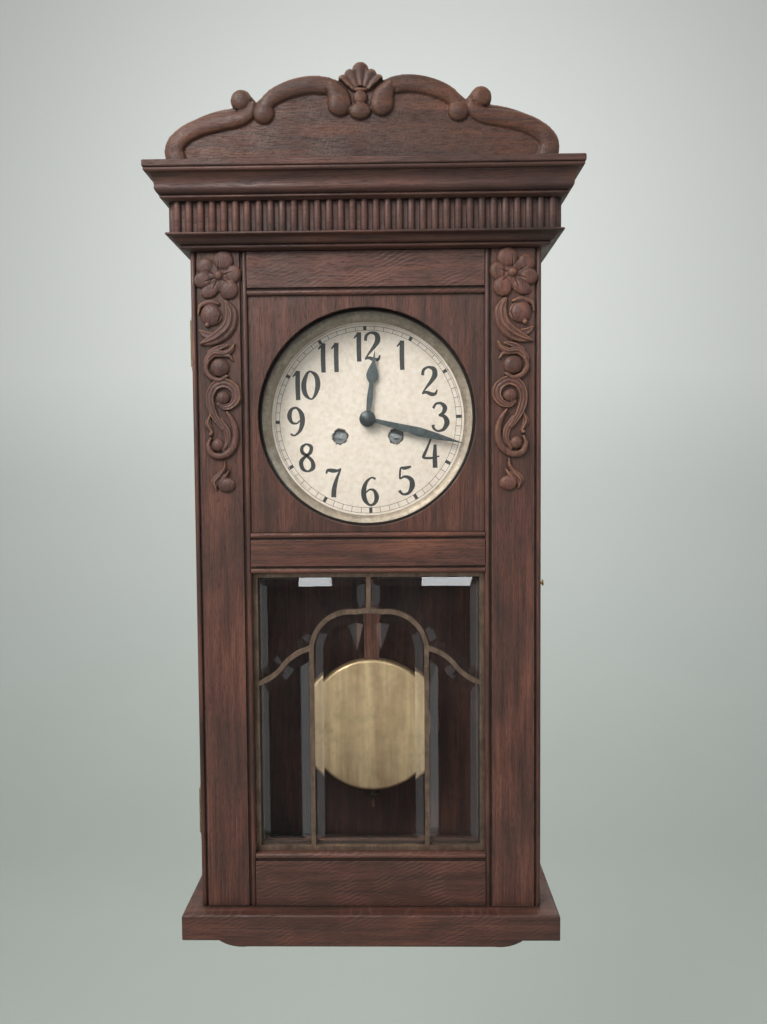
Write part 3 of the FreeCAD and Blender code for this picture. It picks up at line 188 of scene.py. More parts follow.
def oak(name, grain="Z", shift=0.0, tone=1.0, warmth=0.0, flecks=0.0, mitred=False, carved=False,
        dull=0.0):
    """Dark stained oak: long fibres, open pores, ray flecks, painted shade in corners, and lighter edges
    that are partly wear and partly painted highlight.

    Tone scales how light the wood is, warmth takes green and blue out of it, and dull adds roughness.
    """
    s = Shading(name)
    place = grain_place(s, grain, mitred)
    place = s.stretch(place, (1, 1, 1), shift=(shift, shift * 1.7, shift * 0.6))
    bands = s.noise(s.stretch(place, (0.10, 1, 1)), 75, 3, 0.55, 0.6)
    fibres = s.noise(s.stretch(place, (0.022, 1, 1)), 1500, 3, 0.6)
    pores = s.noise(s.stretch(place, (0.045, 1, 1)), 2600, 2, 0.6)
    figure = s.maths("ADD", s.maths("MULTIPLY", bands, 0.62), s.maths("MULTIPLY", fibres, 0.38))
    dark = colour(0.050 * tone, (0.021 - 0.003 * warmth) * tone, (0.016 - 0.004 * warmth) * tone)
    middle_tone = colour(0.125 * tone, (0.048 - 0.004 * warmth) * tone, (0.035 - 0.008 * warmth) * tone)
    light = colour(0.225 * tone, (0.092 - 0.006 * warmth) * tone, (0.064 - 0.014 * warmth) * tone)
    base = s.ramp(figure, [(0.33, dark), (0.52, middle_tone), (0.70, light)])
    open_pores = s.step(pores, 0.57, 0.66)
    base = s.blend(s.maths("MULTIPLY", open_pores, 0.62), base, OPEN_PORE)
    streaks = s.step(s.noise(s.stretch(place, (0.03, 1, 1)), 450, 2, 0.5), 0.52, 0.68, 0.0, 0.55)
    base = s.blend(streaks, base, DARK_STREAK)
    if flecks:
        rays = s.node("TexWave", {"Vector": s.stretch(place, (1, 1, 1), turn=(0, 0.42, 0)), "Scale": 92.0,
                                  "Distortion": 5.0, "Detail": 2.0, "Detail Scale": 0.6},
                      bands_direction="Z").outputs["Fac"]
        patches = s.step(s.noise(place, 38, 2, 0.5), 0.42, 0.60, 0.0, flecks)
        rays = s.maths("MULTIPLY", s.step(rays, 0.72, 0.95), patches)
        base = s.blend(rays, base, colour(0.235 * tone, 0.118 * tone, 0.084 * tone))
    stain = s.noise(s.place, 14, 3, 0.6)
    base = s.blend(s.step(stain, 0.42, 0.66, 0.0, 0.42), base, OLD_STAIN)
    # Painted shade: the colour darkens where ambient occlusion finds corners, creases and crevices.
    corner = s.node("AmbientOcclusion", {"Distance": 0.006}, samples=6).outputs["AO"]
    corner_shade = s.step(corner, 0.35, 0.95, 0.85, 0.0)
    base = s.blend(corner_shade, base, PAINTED_CORNER_SHADE)
    # Lighter edges, partly wear and partly painted highlight, on proud carved forms and rounded board
    # edges.
    wear_and_highlight_patches = s.step(s.noise(s.place, 90, 3, 0.6), 0.40, 0.62)
    if carved:
        proud = s.step(s.node("NewGeometry").outputs["Pointiness"], 0.505, 0.56)
        edge = s.maths("MULTIPLY", proud, s.maths("ADD", s.maths("MULTIPLY", wear_and_highlight_patches, 0.6), 0.35))
        worn = colour(0.33 * tone, 0.165 * tone, 0.092 * tone)
    else:
        rounded = s.node("Bevel", {"Radius": 0.0011}, samples=6).outputs[0]
        facing = s.node("NewGeometry").outputs["True Normal"]
        turned = s.node("VectorMath", {0: rounded, 1: facing}, operation="DOT_PRODUCT").outputs["Value"]
        proud = s.step(turned, 0.985, 0.90)
        edge = s.maths("MULTIPLY", proud, s.step(wear_and_highlight_patches, 0.0, 1.0, 0.12, 0.6))
        worn = colour(0.27 * tone, 0.150 * tone, 0.105 * tone)
    # Painted highlight and wear: the edges are lightened towards the lighter edge colour.
    base = s.blend(edge, base, worn)
    sheen_spots = s.noise(s.place, 38, 3, 0.6)
    gloss = s.step(sheen_spots, 0.35, 0.68, 0.46 + dull, 0.66 + dull)
    gloss = s.maths("ADD", gloss, s.maths("MULTIPLY", open_pores, 0.2), clamp=True)
    s.set(Base_Color=base, Roughness=gloss, Coat_Weight=0.08, Coat_Roughness=0.36)
    relief = s.maths("SUBTRACT", s.maths("MULTIPLY", fibres, 0.35), s.maths("MULTIPLY", open_pores, 0.55))
    if carved:
        relief = s.maths("ADD", relief, s.maths("MULTIPLY", s.noise(s.place, 420, 2, 0.6), 1.6))
    s.bump(relief, 0.00028, 0.75)
    return s.material


def metal(name, tint, rough, streak=(1, 1, 1), streak_scale=300.0, stained=0.0,
          stain_colour=(0.08, 0.055, 0.03), fine=0.00006, weight=1.0):
    """Metal with fine streaks along one way, uneven polish and blotches of tarnish."""
    s = Shading(name)
    lines = s.noise(s.stretch(s.place, streak), streak_scale, 4, 0.62)
    blotch = s.noise(s.place, 70, 4, 0.65)
    specks = s.noise(s.place, 900, 2, 0.5)
    low = colour(*(0.72 * c for c in tint))
    high = colour(*(min(1.0, 1.22 * c) for c in tint))
    base = s.blend(s.step(lines, 0.3, 0.7), low, high)
    base = s.blend(s.step(blotch, 0.42, 0.68, 0.0, stained), base, colour(*stain_colour))
    base = s.blend(s.step(specks, 0.64, 0.72, 0.0, 0.55 * min(1, stained * 2)), base, colour(*stain_colour))
    gloss = s.step(s.maths("ADD", s.maths("MULTIPLY", lines, 0.5), s.maths("MULTIPLY", blotch, 0.5)),
                   0.3, 0.7, rough - 0.07, rough + 0.13)
    s.set(Base_Color=base, Roughness=gloss, Metallic=weight)
    s.bump(lines, fine, 0.6)
    return s.material


def glass(name, tint=(0.965, 0.985, 0.975), rough=0.0, wavy=0.0):
    """Old window glass, which lets lamplight through to what is behind it."""
    s = Shading(name)
    s.set(Base_Color=colour(*tint), Roughness=rough, Transmission_Weight=1.0, IOR=1.46)
    if wavy:
        s.bump(s.noise(s.stretch(s.place, (1, 1, 0.4)), 22, 2, 0.5), wavy, 0.5)
    clear = s.node("BsdfTransparent", {"Color": colour(*tint)})
    lamps = s.node("LightPath").outputs["Is Shadow Ray"]
    mixed = s.node("MixShader", {0: lamps, 1: s.shader.outputs[0], 2: clear.outputs[0]})
    s.join(mixed.outputs[0], s.output.inputs["Surface"])
    return s.material


# ---------------------------------------------------------------- mesh helpers

def piece(name, vertices, faces, body, material, smooth=True, stands_for=()):
    """A mesh object from millimetre vertices that rides on a body of the frame."""
    mesh = bpy.data.meshes.new(name)
    mesh.from_pydata([tuple(c * MM for c in v) for v in vertices], [], faces)
    mesh.validate()
    if smooth:
        mesh.polygons.foreach_set("use_smooth", [True] * len(mesh.polygons))
    mesh.update()
    made = bpy.data.objects.new(name, mesh)
    bpy.context.scene.collection.objects.link(made)
    made.data.materials.append(material)
    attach(made, body)
    if stands_for:
        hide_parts(*stands_for)
    return made


def split_edges(target, degrees):
    """Keeps edges sharper than that angle sharp under smooth shading."""
    modifier = target.modifiers.new("sharp_edges", "EDGE_SPLIT")
    modifier.split_angle = math.radians(degrees)


def front_loops(node, y):
    """The closed outlines, in millimetres of (x, z), of a node's flat face at that y."""
    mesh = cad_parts[node].data
    keys = [(round(v.co.x / MM, 3), round(v.co.z / MM, 3)) for v in mesh.vertices]
    on_face = [abs(v.co.y / MM - y) < 0.01 for v in mesh.vertices]
    after = {}
    sides = {}
    for polygon in mesh.polygons:
        ring = list(polygon.vertices)
        if abs(polygon.normal.y) < 0.99 or not all(on_face[i] for i in ring):
            continue
        for a, b in zip(ring, ring[1:] + ring[:1]):
            sides[(keys[a], keys[b])] = True
    for a, b in sides:
        if (b, a) not in sides and a != b:
            after[a] = b
    loops = []
    while after:
        start = next(iter(after))
        loop = [start]
        follow = after.pop(start)
        while follow != start and follow in after:
            loop.append(follow)
            follow = after.pop(follow)
        loops.append(np.array(loop))
    return loops


def evenly(loop, spacing):
    """The closed loop with points added so that none are further apart than spacing."""
    points = []
    for a, b in zip(loop, np.roll(loop, -1, axis=0)):
        count = max(1, math.ceil(np.hypot(*(b - a)) / spacing))
        points += [a + (b - a) * k / count for k in range(count)]
    return np.array(points)


def loop_area(loop):
    """The area inside a closed loop, positive when it runs counter-clockwise."""
    ahead = np.roll(loop, -1, axis=0)
    return 0.5 * np.sum(loop[:, 0] * ahead[:, 1] - ahead[:, 0] * loop[:, 1])


def nearest_on(loop, points):
    """For each point the distance to the closed loop and the place on it that is nearest."""
    best = np.full(len(points), np.inf)
    place = np.zeros_like(points)
    for a, b in zip(loop, np.roll(loop, -1, axis=0)):
        d = b - a
        size = float(d @ d)
        if size < 1e-9:
            continue
        t = np.clip((points - a) @ d / size, 0, 1)
        foot = a + t[:, None] * d
        gap = np.hypot(*(points - foot).T)
        closer = gap < best
        best[closer] = gap[closer]
        place[closer] = foot[closer]
    return best, place


def inside(loop, points):
    """True for each point that the closed loop goes round."""
    found = np.zeros(len(points), bool)
    x, z = points.T
    for (ax, az), (bx, bz) in zip(loop, np.roll(loop, -1, axis=0)):
        if az == bz:
            continue
        crosses = (az > z) != (bz > z)
        found ^= crosses & (x < (bx - ax) * (z - az) / (bz - az) + ax)
    return found


# ---------------------------------------------------------------- carved relief

def curve_through(points, steps=10):
    """A smooth line through (x, z, half width) points."""
    p = np.array(points, float)
    p = np.vstack([2 * p[0] - p[1], p, 2 * p[-1] - p[-2]])
    made = []
    for k in range(1, len(p) - 2):
        for t in np.linspace(0, 1, steps, endpoint=False):
            made.append(0.5 * (2 * p[k] + (p[k + 1] - p[k - 1]) * t
                               + (2 * p[k - 1] - 5 * p[k] + 4 * p[k + 1] - p[k + 2]) * t * t
                               + (3 * p[k] - p[k - 1] - 3 * p[k + 1] + p[k + 2]) * t ** 3))
    made.append(p[-2])
    return np.array(made)


class Relief:
    """A height field over a grid of (x, z), to which carved forms are added one over another."""

    def __init__(self, x_range, z_range, step):
        self.xs = np.arange(x_range[0], x_range[1] + step / 2, step)
        self.zs = np.arange(z_range[0], z_range[1] + step / 2, step)
        self.x, self.z = np.meshgrid(self.xs, self.zs)
        self.height = np.full(self.x.shape, -1.0)

    def over(self, height):
        """Lays a form over the relief: the higher of the two shows."""
        self.height = np.maximum(self.height, height)

    def ball(self, x, z, r, top, rz=None, flat=2.0, turn=0.0):
        """A domed boss; flat above 2 has a flatter top."""
        c, s = math.cos(math.radians(turn)), math.sin(math.radians(turn))
        u = (self.x - x) * c + (self.z - z) * s
        w = -(self.x - x) * s + (self.z - z) * c
        q = np.hypot(u / r, w / (rz or r))
        self.over(np.where(q < 1, top * np.sqrt(np.clip(1 - q ** flat, 0, 1)), -1.0))

    def groove(self, points, depth):
        """Cuts a rounded groove along a line."""
        q, side = self.along(points)
        self.height -= np.where(q < 1, depth * (1 - q * q) ** 2, 0) * (self.height > 0)

    def along(self, points):
        """How far each grid point is from a line, in its half widths, and which side of it."""
        line = curve_through(points)
        best = np.full(self.x.shape, np.inf)
        side = np.zeros(self.x.shape)
        for (ax, az, ar), (bx, bz, br) in zip(line[:-1], line[1:]):
            dx, dz = bx - ax, bz - az
            size = dx * dx + dz * dz
            if size < 1e-9:
                continue
            t = np.clip(((self.x - ax) * dx + (self.z - az) * dz) / size, 0, 1)
            ex, ez = self.x - ax - t * dx, self.z - az - t * dz
            q = np.hypot(ex, ez) / np.maximum(ar + (br - ar) * t, 0.05)
            closer = q < best
            best = np.where(closer, q, best)
            side = np.where(closer, np.sign(dx * ez - dz * ex), side)
        return best, side * best

    def band(self, points, top, form="round", folds=0.0, lean=0.0):
        """A carved band along a line: round, ridged along its middle, or hollow between rims."""
        q, s = self.along(points)
        inner = np.clip(1 - q ** 6, 0, 1) ** 0.5
        shape = {"round": np.sqrt(np.clip(1 - q ** 2.4, 0, 1)),
                 "ridge": inner * (1 - 0.42 * q),
                 "hollow": inner * (0.62 + 0.38 * q * q)}[form]
        shape = shape + inner * lean * s
        if folds:
            shape = shape + 0.10 * inner * np.cos(s * math.pi * folds)
        self.over(np.where(q < 1, top * shape, -1.0))

    def soften(self, rounds):
        """Evens out the grid's steps, as scraping and wear do, without filling the hollows."""
        for _ in range(rounds):
            h = self.height
            padded = np.pad(h, 1, mode="edge")
            near = (padded[:-2, 1:-1] + padded[2:, 1:-1] + padded[1:-1, :-2] + padded[1:-1, 2:]) / 4
            self.height = np.where(h > 0, 0.5 * h + 0.5 * np.maximum(near, -0.6), h)

    def solid(self, base_y, back_y, keep, edge=None, flip=False):
        """Vertices and faces of a closed solid: the relief in front, flat at back_y, over kept cells."""
        rows, columns = keep.shape
        index = np.full(self.x.shape, -1)
        used = np.zeros(self.x.shape, bool)
        used[:-1, :-1] |= keep
        used[1:, :-1] |= keep
        used[:-1, 1:] |= keep
        used[1:, 1:] |= keep
        index[used] = np.arange(used.sum())
        x, z, h = self.x.copy(), self.z.copy(), self.height.copy()
        if edge is not None:
            count = np.zeros(self.x.shape, int)
            count[:-1, :-1] += keep
            count[1:, :-1] += keep
            count[:-1, 1:] += keep
            count[1:, 1:] += keep
            rim = used & (count < 4)
            _, place = nearest_on(edge, np.stack([x[rim], z[rim]], 1))
            x[rim], z[rim] = place.T
        sign = -1 if flip else 1
        front = np.stack([sign * x[used], base_y - h[used], z[used]], 1)
        back = np.stack([sign * x[used], np.full(used.sum(), back_y), z[used]], 1)
        total = len(front)
        r, c = np.nonzero(keep)
        a, b = index[r, c], index[r, c + 1]
        d, e = index[r + 1, c], index[r + 1, c + 1]
        faces = np.vstack([np.stack([a, b, e, d], 1), np.stack([a, d, e, b], 1) + total])
        walls = []
        padded = np.pad(keep, 1)
        for dr, dc, first, second in ((-1, 0, (0, 0), (0, 1)), (1, 0, (1, 1), (1, 0)),
                                      (0, -1, (1, 0), (0, 0)), (0, 1, (0, 1), (1, 1))):
            beside = padded[1 + dr:1 + dr + rows, 1 + dc:1 + dc + columns]
            r, c = np.nonzero(keep & ~beside)
            p = index[r + first[0], c + first[1]]
            q = index[r + second[0], c + second[1]]
            walls.append(np.stack([q, p, p + total, q + total], 1))
        faces = np.vstack([faces, *walls])
        if flip:
            faces = faces[:, ::-1]
        return np.vstack([front, back]), faces


def stile_carving():
    """The right stile's carving: a flower, a C leaf with a ball, a leaf, a volute, an S and a flame."""
    relief = Relief((108.0, 153.0), (-246.0, -30.0), 0.5)
    relief.ball(130.0, -55.5, 13.5, 2.0, flat=6)
    for x, z, rx, rz, turn, top in ((116.6, -53.2, 6.6, 8.2, 10, 3.3), (141.4, -46.4, 7.6, 7.9, 30, 3.4),
                                    (137.6, -67.4, 9.0, 6.4, -24, 3.2), (125.1, -41.2, 9.2, 9.0, 0, 4.2),
                                    (143.6, -58.2, 8.0, 7.5, 0, 4.3), (120.6, -66.8, 8.3, 8.8, 20, 4.1)):
        relief.ball(x, z, rx, top, rz, 3.2, turn)
    for angle in (25, 95, 165, 215, 290, 335):
        dx, dz = math.cos(math.radians(angle)), math.sin(math.radians(angle))
        relief.groove([(130 + 5.2 * dx, -55 + 5.2 * dz, 0.9), (130 + 9.5 * dx, -55 + 9.5 * dz, 0.7),
                       (130 + 13 * dx, -55 + 13 * dz, 0.3)], 1.1)
    relief.ball(129.5, -54.4, 4.6, 5.0)

    relief.band([(122.5, -78.0, 2.4), (119.0, -87.0, 6.0), (120.6, -97.5, 6.9), (127.3, -105.5, 6.9),
                 (136.1, -110.6, 5.4), (146.0, -113.9, 1.4)], 3.9, "ridge", folds=3.0, lean=0.18)
    relief.band([(132.5, -107.0, 2.8), (141.5, -105.9, 3.2), (147.2, -102.0, 1.0)], 3.1, "hollow")
    relief.band([(148.0, -88.0, 0.8), (146.0, -80.5, 2.2), (137.5, -77.4, 2.6), (130.0, -79.0, 1.6)],
                2.6, "round")
    relief.ball(136.4, -88.7, 9.9, 4.6)
    relief.groove([(130.2, -94.6, 0.8), (127.8, -88.0, 1.2), (131.0, -82.0, 1.1), (137.5, -80.4, 0.5)], 1.2)
    relief.ball(140.0, -97.4, 2.7, 4.2)

    relief.band([(116.7, -114.4, 1.0), (119.6, -119.6, 2.4), (126.0, -123.0, 3.4), (134.7, -122.6, 3.9),
                 (141.0, -128.6, 3.3), (142.0, -136.5, 1.4)], 3.2, "ridge", folds=3.0)
    relief.band([(123.0, -115.6, 1.2), (130.2, -117.4, 2.4), (138.4, -121.6, 2.4)], 2.9, "hollow")
    relief.band([(117.8, -129.0, 0.8), (121.2, -125.0, 2.0), (127.0, -124.4, 2.0)], 2.8, "round")
    relief.band([(139.6, -128.8, 1.6), (142.2, -136.0, 2.6), (138.0, -143.4, 2.7), (130.0, -146.0, 2.4),
                 (123.4, -142.6, 1.6)], 3.4, "round")
    relief.ball(129.8, -135.0, 8.4, 4.6)

    relief.band([(128.4, -188.6, 1.8), (135.6, -176.8, 3.4), (139.2, -163.4, 3.8), (135.4, -152.4, 4.2),
                 (126.0, -148.6, 4.3), (117.4, -153.4, 4.3), (115.4, -161.4, 4.1), (119.6, -168.0, 3.4),
                 (126.4, -170.2, 2.4), (131.6, -167.0, 1.4)], 4.0, "hollow", folds=2.0)
    relief.ball(127.4, -161.8, 6.4, 4.7)
    relief.groove([(120.8, -160.0, 0.8), (123.6, -155.4, 1.3), (129.4, -154.2, 1.5), (133.6, -158.4, 0.9)],
                  1.6)

    relief.band([(130.6, -182.0, 3.2), (124.6, -191.6, 3.8), (123.8, -200.9, 3.2), (128.2, -208.3, 1.8)],
                2.4, "ridge", folds=3.0)
    relief.band([(124.0, -174.4, 1.2), (119.9, -180.6, 2.6), (116.9, -189.6, 3.1), (117.0, -199.6, 3.4),
                 (121.0, -208.4, 3.5), (129.2, -213.4, 3.2), (137.4, -211.8, 3.1), (141.0, -204.6, 2.6),
                 (139.0, -197.8, 1.4)], 4.0, "round")
    relief.band([(139.0, -176.8, 0.8), (141.2, -184.4, 3.0), (137.6, -192.6, 1.4)], 2.8, "ridge", folds=2.0)
    relief.ball(138.8, -193.8, 2.2, 3.5)
    relief.ball(132.8, -203.6, 5.9, 4.6)

    relief.band([(126.4, -216.9, 0.5), (127.0, -223.8, 1.8), (131.0, -230.2, 3.2), (136.2, -236.2, 3.4),
                 (134.6, -243.2, 1.0)], 3.2, "ridge", folds=2.0)
    relief.band([(123.0, -226.4, 0.6), (126.4, -231.4, 2.0), (130.2, -236.2, 1.6)], 3.5, "round")
    relief.ball(125.8, -239.0, 8.2, 4.4, 6.9)
    relief.soften(1)
    return relief


# tone and warmth of each side's carving
CARVING_TONES = {1: (1.36, 0.2), -1: (1.0, -1.2)}


def carve_stile(name, side, node):
    """The carving of the right (1) or left (-1) stile, in place of its plain node."""
    relief = stile_carving()
    wobble = SEED + side
    drift = 0.16 * np.sin(relief.x / 5.1 + wobble) * np.cos(relief.z / 6.7 + 2 * wobble)
    drift += 0.10 * np.sin(relief.x / 1.9 - wobble) * np.sin(relief.z / 2.3 + wobble)
    relief.height = np.where(relief.height > 0.6, relief.height + drift, relief.height)
    corners = np.stack([relief.height[:-1, :-1], relief.height[1:, :-1],
                        relief.height[:-1, 1:], relief.height[1:, 1:]])
    keep = corners.max(0) > 0
    vertices, faces = relief.solid(lowest("left_stile").y, lowest("left_stile").y + 1.2, keep,
                                   flip=side < 0)
    made = piece(name, vertices, faces.tolist(), "door",
                 oak(name, "Z", 0.3 * side, *CARVING_TONES[side], carved=True), stands_for=(node,))
    split_edges(made, CARVED_EDGE)


def crest_relief(outline):
    """Arched bands, scrolls, two drops and a shell over the crest's plain field."""
    centre = -1.6
    low, high = outline.min(0), outline.max(0)
    relief = Relief((math.floor(low[0]) - 1, high[0] + 1), (low[1], high[1] + 1), 0.75)
    relief.height[:] = 0.0
    across = relief.x.copy()
    for side in (-1, 1):
        relief.x = (across - centre) * side
        relief.band([(82, 79, 5.4), (75, 87.6, 7.0), (60, 94.6, 7.6), (43, 98.0, 7.8), (30, 97.2, 7.6),
                     (25, 96.0, 6.6)], 4.0, "round")
        relief.band([(92, 82, 3.0), (94, 76, 5.2), (102, 71, 6.6), (118, 68.2, 7.4), (136, 64.4, 7.8),
                     (151, 57.4, 8.0), (158.8, 47, 8.2), (157.2, 37, 8.4), (156.6, 30, 8.4)], 3.9, "round",
                    lean=0.16 * side)
        relief.ball(82.3, 75.0, 9.2, 4.9)
        relief.ball(101.3, 86.0, 9.0, 4.9, flat=2.6)
    relief.x = across - centre
    angle = np.arctan2(relief.x, relief.z - 86.0)
    reach = np.hypot(relief.x, relief.z - 86.0)
    ribs = 2.6 + 0.9 * np.abs(np.cos(angle * 8.5)) + 0.04 * (reach - 14)
    in_fan = (np.abs(angle) < 0.86) & (reach > 9) & (np.abs(relief.x) < 20)
    relief.over(np.where(in_fan, ribs, 0))
    for side in (-1, 1):
        relief.x = (across - centre) * side
        relief.band([(25.0, 97.5, 2.6), (22.2, 93.0, 6.6), (18.8, 87.0, 9.4), (17.8, 81.4, 10.2)],
                    5.0, "round")
        relief.groove([(29.5, 93.0, 0.8), (28.2, 87.0, 1.2), (29.4, 80.0, 0.6)], 1.0)
    relief.x = across - centre
    relief.ball(-0.4, 92.6, 6.6, 3.9, 2.0, flat=3)
    relief.ball(-0.4, 86.4, 6.2, 4.3, 6.4, flat=3)
    relief.ball(-0.6, 75.6, 9.6, 4.6, 7.4, flat=2.6)
    relief.x = across
    return relief


CREST_THICKNESS = 12.0


def carve_crest():
    """The carved crest, in place of its plain node and with the same silhouette."""
    board = "crest_board"
    back_y = highest(board).y
    front_y = back_y - CREST_THICKNESS
    loops = front_loops(board, back_y)
    loops.sort(key=lambda loop: -abs(loop_area(loop)))
    outline = evenly(loops[0], 2.0)
    relief = crest_relief(outline)
    cx = (relief.x[:-1, :-1] + relief.x[1:, 1:]) / 2
    cz = (relief.z[:-1, :-1] + relief.z[1:, 1:]) / 2
    keep = inside(outline, np.stack([cx.ravel(), cz.ravel()], 1)).reshape(cx.shape)
    gap, _ = nearest_on(outline, np.stack([relief.x.ravel(), relief.z.ravel()], 1))
    gap = gap.reshape(relief.x.shape)
    rounding = 1.6 * np.clip(1 - gap / 2.2, 0, 1) ** 2
    free_edge = relief.z > outline[:, 1].min() + 3
    relief.soften(1)
    relief.height = relief.height - np.where(free_edge, rounding, 0)
    vertices, faces = relief.solid(front_y, back_y, keep, edge=outline)
    made = piece("carved_crest", vertices, faces.tolist(), "case",
                 oak("carved_crest", "X", 0.9, 0.84, 2.0, carved=True), stands_for=(board,))
    split_edges(made, CARVED_EDGE)


# ---------------------------------------------------------------- bevelled panes

def inset_loop(loop, amount):
    """The part of a counter-clockwise loop, moved in by amount, that stays clear of the loop."""
    before, ahead = np.roll(loop, 1, axis=0), np.roll(loop, -1, axis=0)
    first, second = loop - before, ahead - loop
    first /= np.hypot(*first.T)[:, None]
    second /= np.hypot(*second.T)[:, None]
    normals = np.stack([-(first[:, 1] + second[:, 1]), first[:, 0] + second[:, 0]], 1)
    size = np.hypot(*normals.T)[:, None]
    normals = normals / np.maximum(size, 1e-6)
    half = np.clip(size / 2, 0.25, 1)
    moved = loop + normals * amount / half
    gap, _ = nearest_on(loop, moved)
    return moved[(gap > 0.985 * amount) & inside(loop, moved)]


def bevelled_pane(name, node, number, material, bevel=8.5, drop=1.7):
    """A pane with a wide ground bevel all round its front."""
    front_y, back_y = lowest(node).y, highest(node).y
    loops = [loop for loop in front_loops(node, front_y) if abs(loop_area(loop)) > 500]
    loops.sort(key=lambda loop: loop[:, 0].mean())
    outline = evenly(loops[number], 3.0)
    if loop_area(outline) < 0:
        outline = outline[::-1]
    inner = inset_loop(outline, bevel)
    count, total = len(outline), len(outline) + len(inner)
    points = [Vector(p) for p in np.vstack([outline, inner])]
    edges = [(k, (k + 1) % count) for k in range(count)]
    edges += [(count + k, count + (k + 1) % len(inner)) for k in range(len(inner))]
    flat, _, triangles, origin, _, _ = delaunay_2d_cdt(points, edges, [], 1, 1e-6)
    role = [any(k >= count for k in source) for source in origin]
    bottom = len(flat)
    vertices = [(p.x, front_y if role[k] else front_y + drop, p.y) for k, p in enumerate(flat)]
    vertices += [(p.x, back_y, p.y) for p in flat]
    faces = [tuple(t) for t in triangles]
    faces += [tuple(bottom + k for k in reversed(t)) for t in triangles]
    sides = [side for t in triangles for side in zip(t, list(t[1:]) + [t[0]])]
    shared = set(sides)
    faces += [(b, a, bottom + a, bottom + b) for a, b in sides if (b, a) not in shared]
    made = piece(name, vertices, faces, "door", material, smooth=False)
    face_outwards(made, weld=True)
    return made


def face_outwards(made, weld=False):
    """Makes every face of a closed mesh look outwards, after welding points that coincide."""
    tidy = bmesh.new()
    tidy.from_mesh(made.data)
    if weld:
        bmesh.ops.remove_doubles(tidy, verts=tidy.verts, dist=1e-6)
    bmesh.ops.recalc_face_normals(tidy, faces=tidy.faces)
    tidy.to_mesh(made.data)
    tidy.free()


# ---------------------------------------------------------------- dial print

# Each stroke of a numeral is a run of (x, z, width) in a box one unit high and about 0.6 wide.
STROKES = {
    "0": [[(0.0, 0.48, 0.06), (0.20, 0.30, 0.15), (0.24, -0.04, 0.17), (0.12, -0.38, 0.10),
           (-0.02, -0.48, 0.06), (-0.20, -0.30, 0.15), (-0.24, 0.04, 0.17), (-0.12, 0.38, 0.10),
           (0.0, 0.48, 0.06)]],
    "1": [[(0.02, 0.50, 0.15), (0.00, 0.0, 0.16), (0.00, -0.50, 0.15)],
          [(-0.16, 0.30, 0.04), (-0.06, 0.40, 0.08), (0.02, 0.46, 0.12)]],
    "2": [[(-0.22, 0.20, 0.10), (-0.18, 0.38, 0.10), (-0.02, 0.47, 0.08), (0.17, 0.40, 0.15),
           (0.20, 0.20, 0.18), (0.08, 0.00, 0.13), (-0.12, -0.24, 0.07), (-0.25, -0.43, 0.05)],
          [(-0.25, -0.43, 0.05), (-0.12, -0.38, 0.10), (0.06, -0.45, 0.13), (0.20, -0.44, 0.10),
           (0.27, -0.30, 0.04)]],
    "3": [[(-0.22, 0.30, 0.09), (-0.12, 0.45, 0.08), (0.06, 0.46, 0.10), (0.18, 0.32, 0.16),
           (0.12, 0.14, 0.12), (-0.04, 0.06, 0.05)],
          [(-0.04, 0.06, 0.05), (0.16, 0.00, 0.13), (0.24, -0.20, 0.18), (0.12, -0.42, 0.12),
           (-0.08, -0.48, 0.07), (-0.22, -0.38, 0.09), (-0.24, -0.26, 0.11)]],
    "4": [[(0.00, 0.50, 0.06), (-0.12, 0.22, 0.08), (-0.26, -0.08, 0.11), (-0.28, -0.16, 0.07)],
          [(-0.28, -0.15, 0.08), (0.00, -0.16, 0.08), (0.28, -0.10, 0.05)],
          [(0.14, 0.30, 0.10), (0.12, -0.10, 0.15), (0.12, -0.50, 0.16)]],
    "5": [[(-0.16, 0.46, 0.06), (-0.02, 0.43, 0.12), (0.20, 0.48, 0.07)],
          [(-0.16, 0.46, 0.06), (-0.19, 0.28, 0.07), (-0.20, 0.06, 0.06)],
          [(-0.20, 0.06, 0.05), (-0.02, 0.14, 0.09), (0.18, 0.04, 0.15), (0.22, -0.18, 0.18),
           (0.10, -0.42, 0.11), (-0.10, -0.47, 0.08), (-0.24, -0.34, 0.10)]],
    "6": [[(0.20, 0.42, 0.08), (0.06, 0.47, 0.06), (-0.12, 0.32, 0.11), (-0.22, 0.04, 0.17),
           (-0.20, -0.26, 0.16), (-0.04, -0.47, 0.08), (0.14, -0.42, 0.11), (0.22, -0.20, 0.16),
           (0.14, 0.02, 0.10), (-0.02, 0.06, 0.06), (-0.14, -0.04, 0.05)]],
    "7": [[(-0.26, 0.32, 0.05), (-0.20, 0.44, 0.10), (-0.02, 0.42, 0.14), (0.14, 0.42, 0.09),
           (0.26, 0.49, 0.04)],
          [(0.25, 0.47, 0.05), (0.10, 0.14, 0.11), (0.00, -0.20, 0.16), (-0.03, -0.50, 0.17)]],
    "8": [[(0.0, 0.47, 0.06), (0.16, 0.36, 0.12), (0.12, 0.16, 0.12), (-0.04, 0.04, 0.10),
           (-0.20, -0.14, 0.14), (-0.16, -0.38, 0.13), (0.02, -0.48, 0.07), (0.20, -0.36, 0.15),
           (0.18, -0.14, 0.13), (0.02, 0.04, 0.10), (-0.15, 0.18, 0.12), (-0.15, 0.36, 0.11),
           (0.0, 0.47, 0.06)]],
}
STROKES["9"] = [[(-x, -z, w) for x, z, w in stroke] for stroke in STROKES["6"]]
NUMERAL_HEIGHT, NUMERAL_RADIUS, PAIR_HALF = 27.0, 67.0, 6.1
STROKE_WEIGHT = 1.03
TRACK_RADIUS, TRACK_HALF = 84.0, 1.85
TRACK_LINE, MINUTE_BAR, HOUR_BAR = 0.38, 0.45, 3.0
PRINT_TURN = math.radians(1.4)


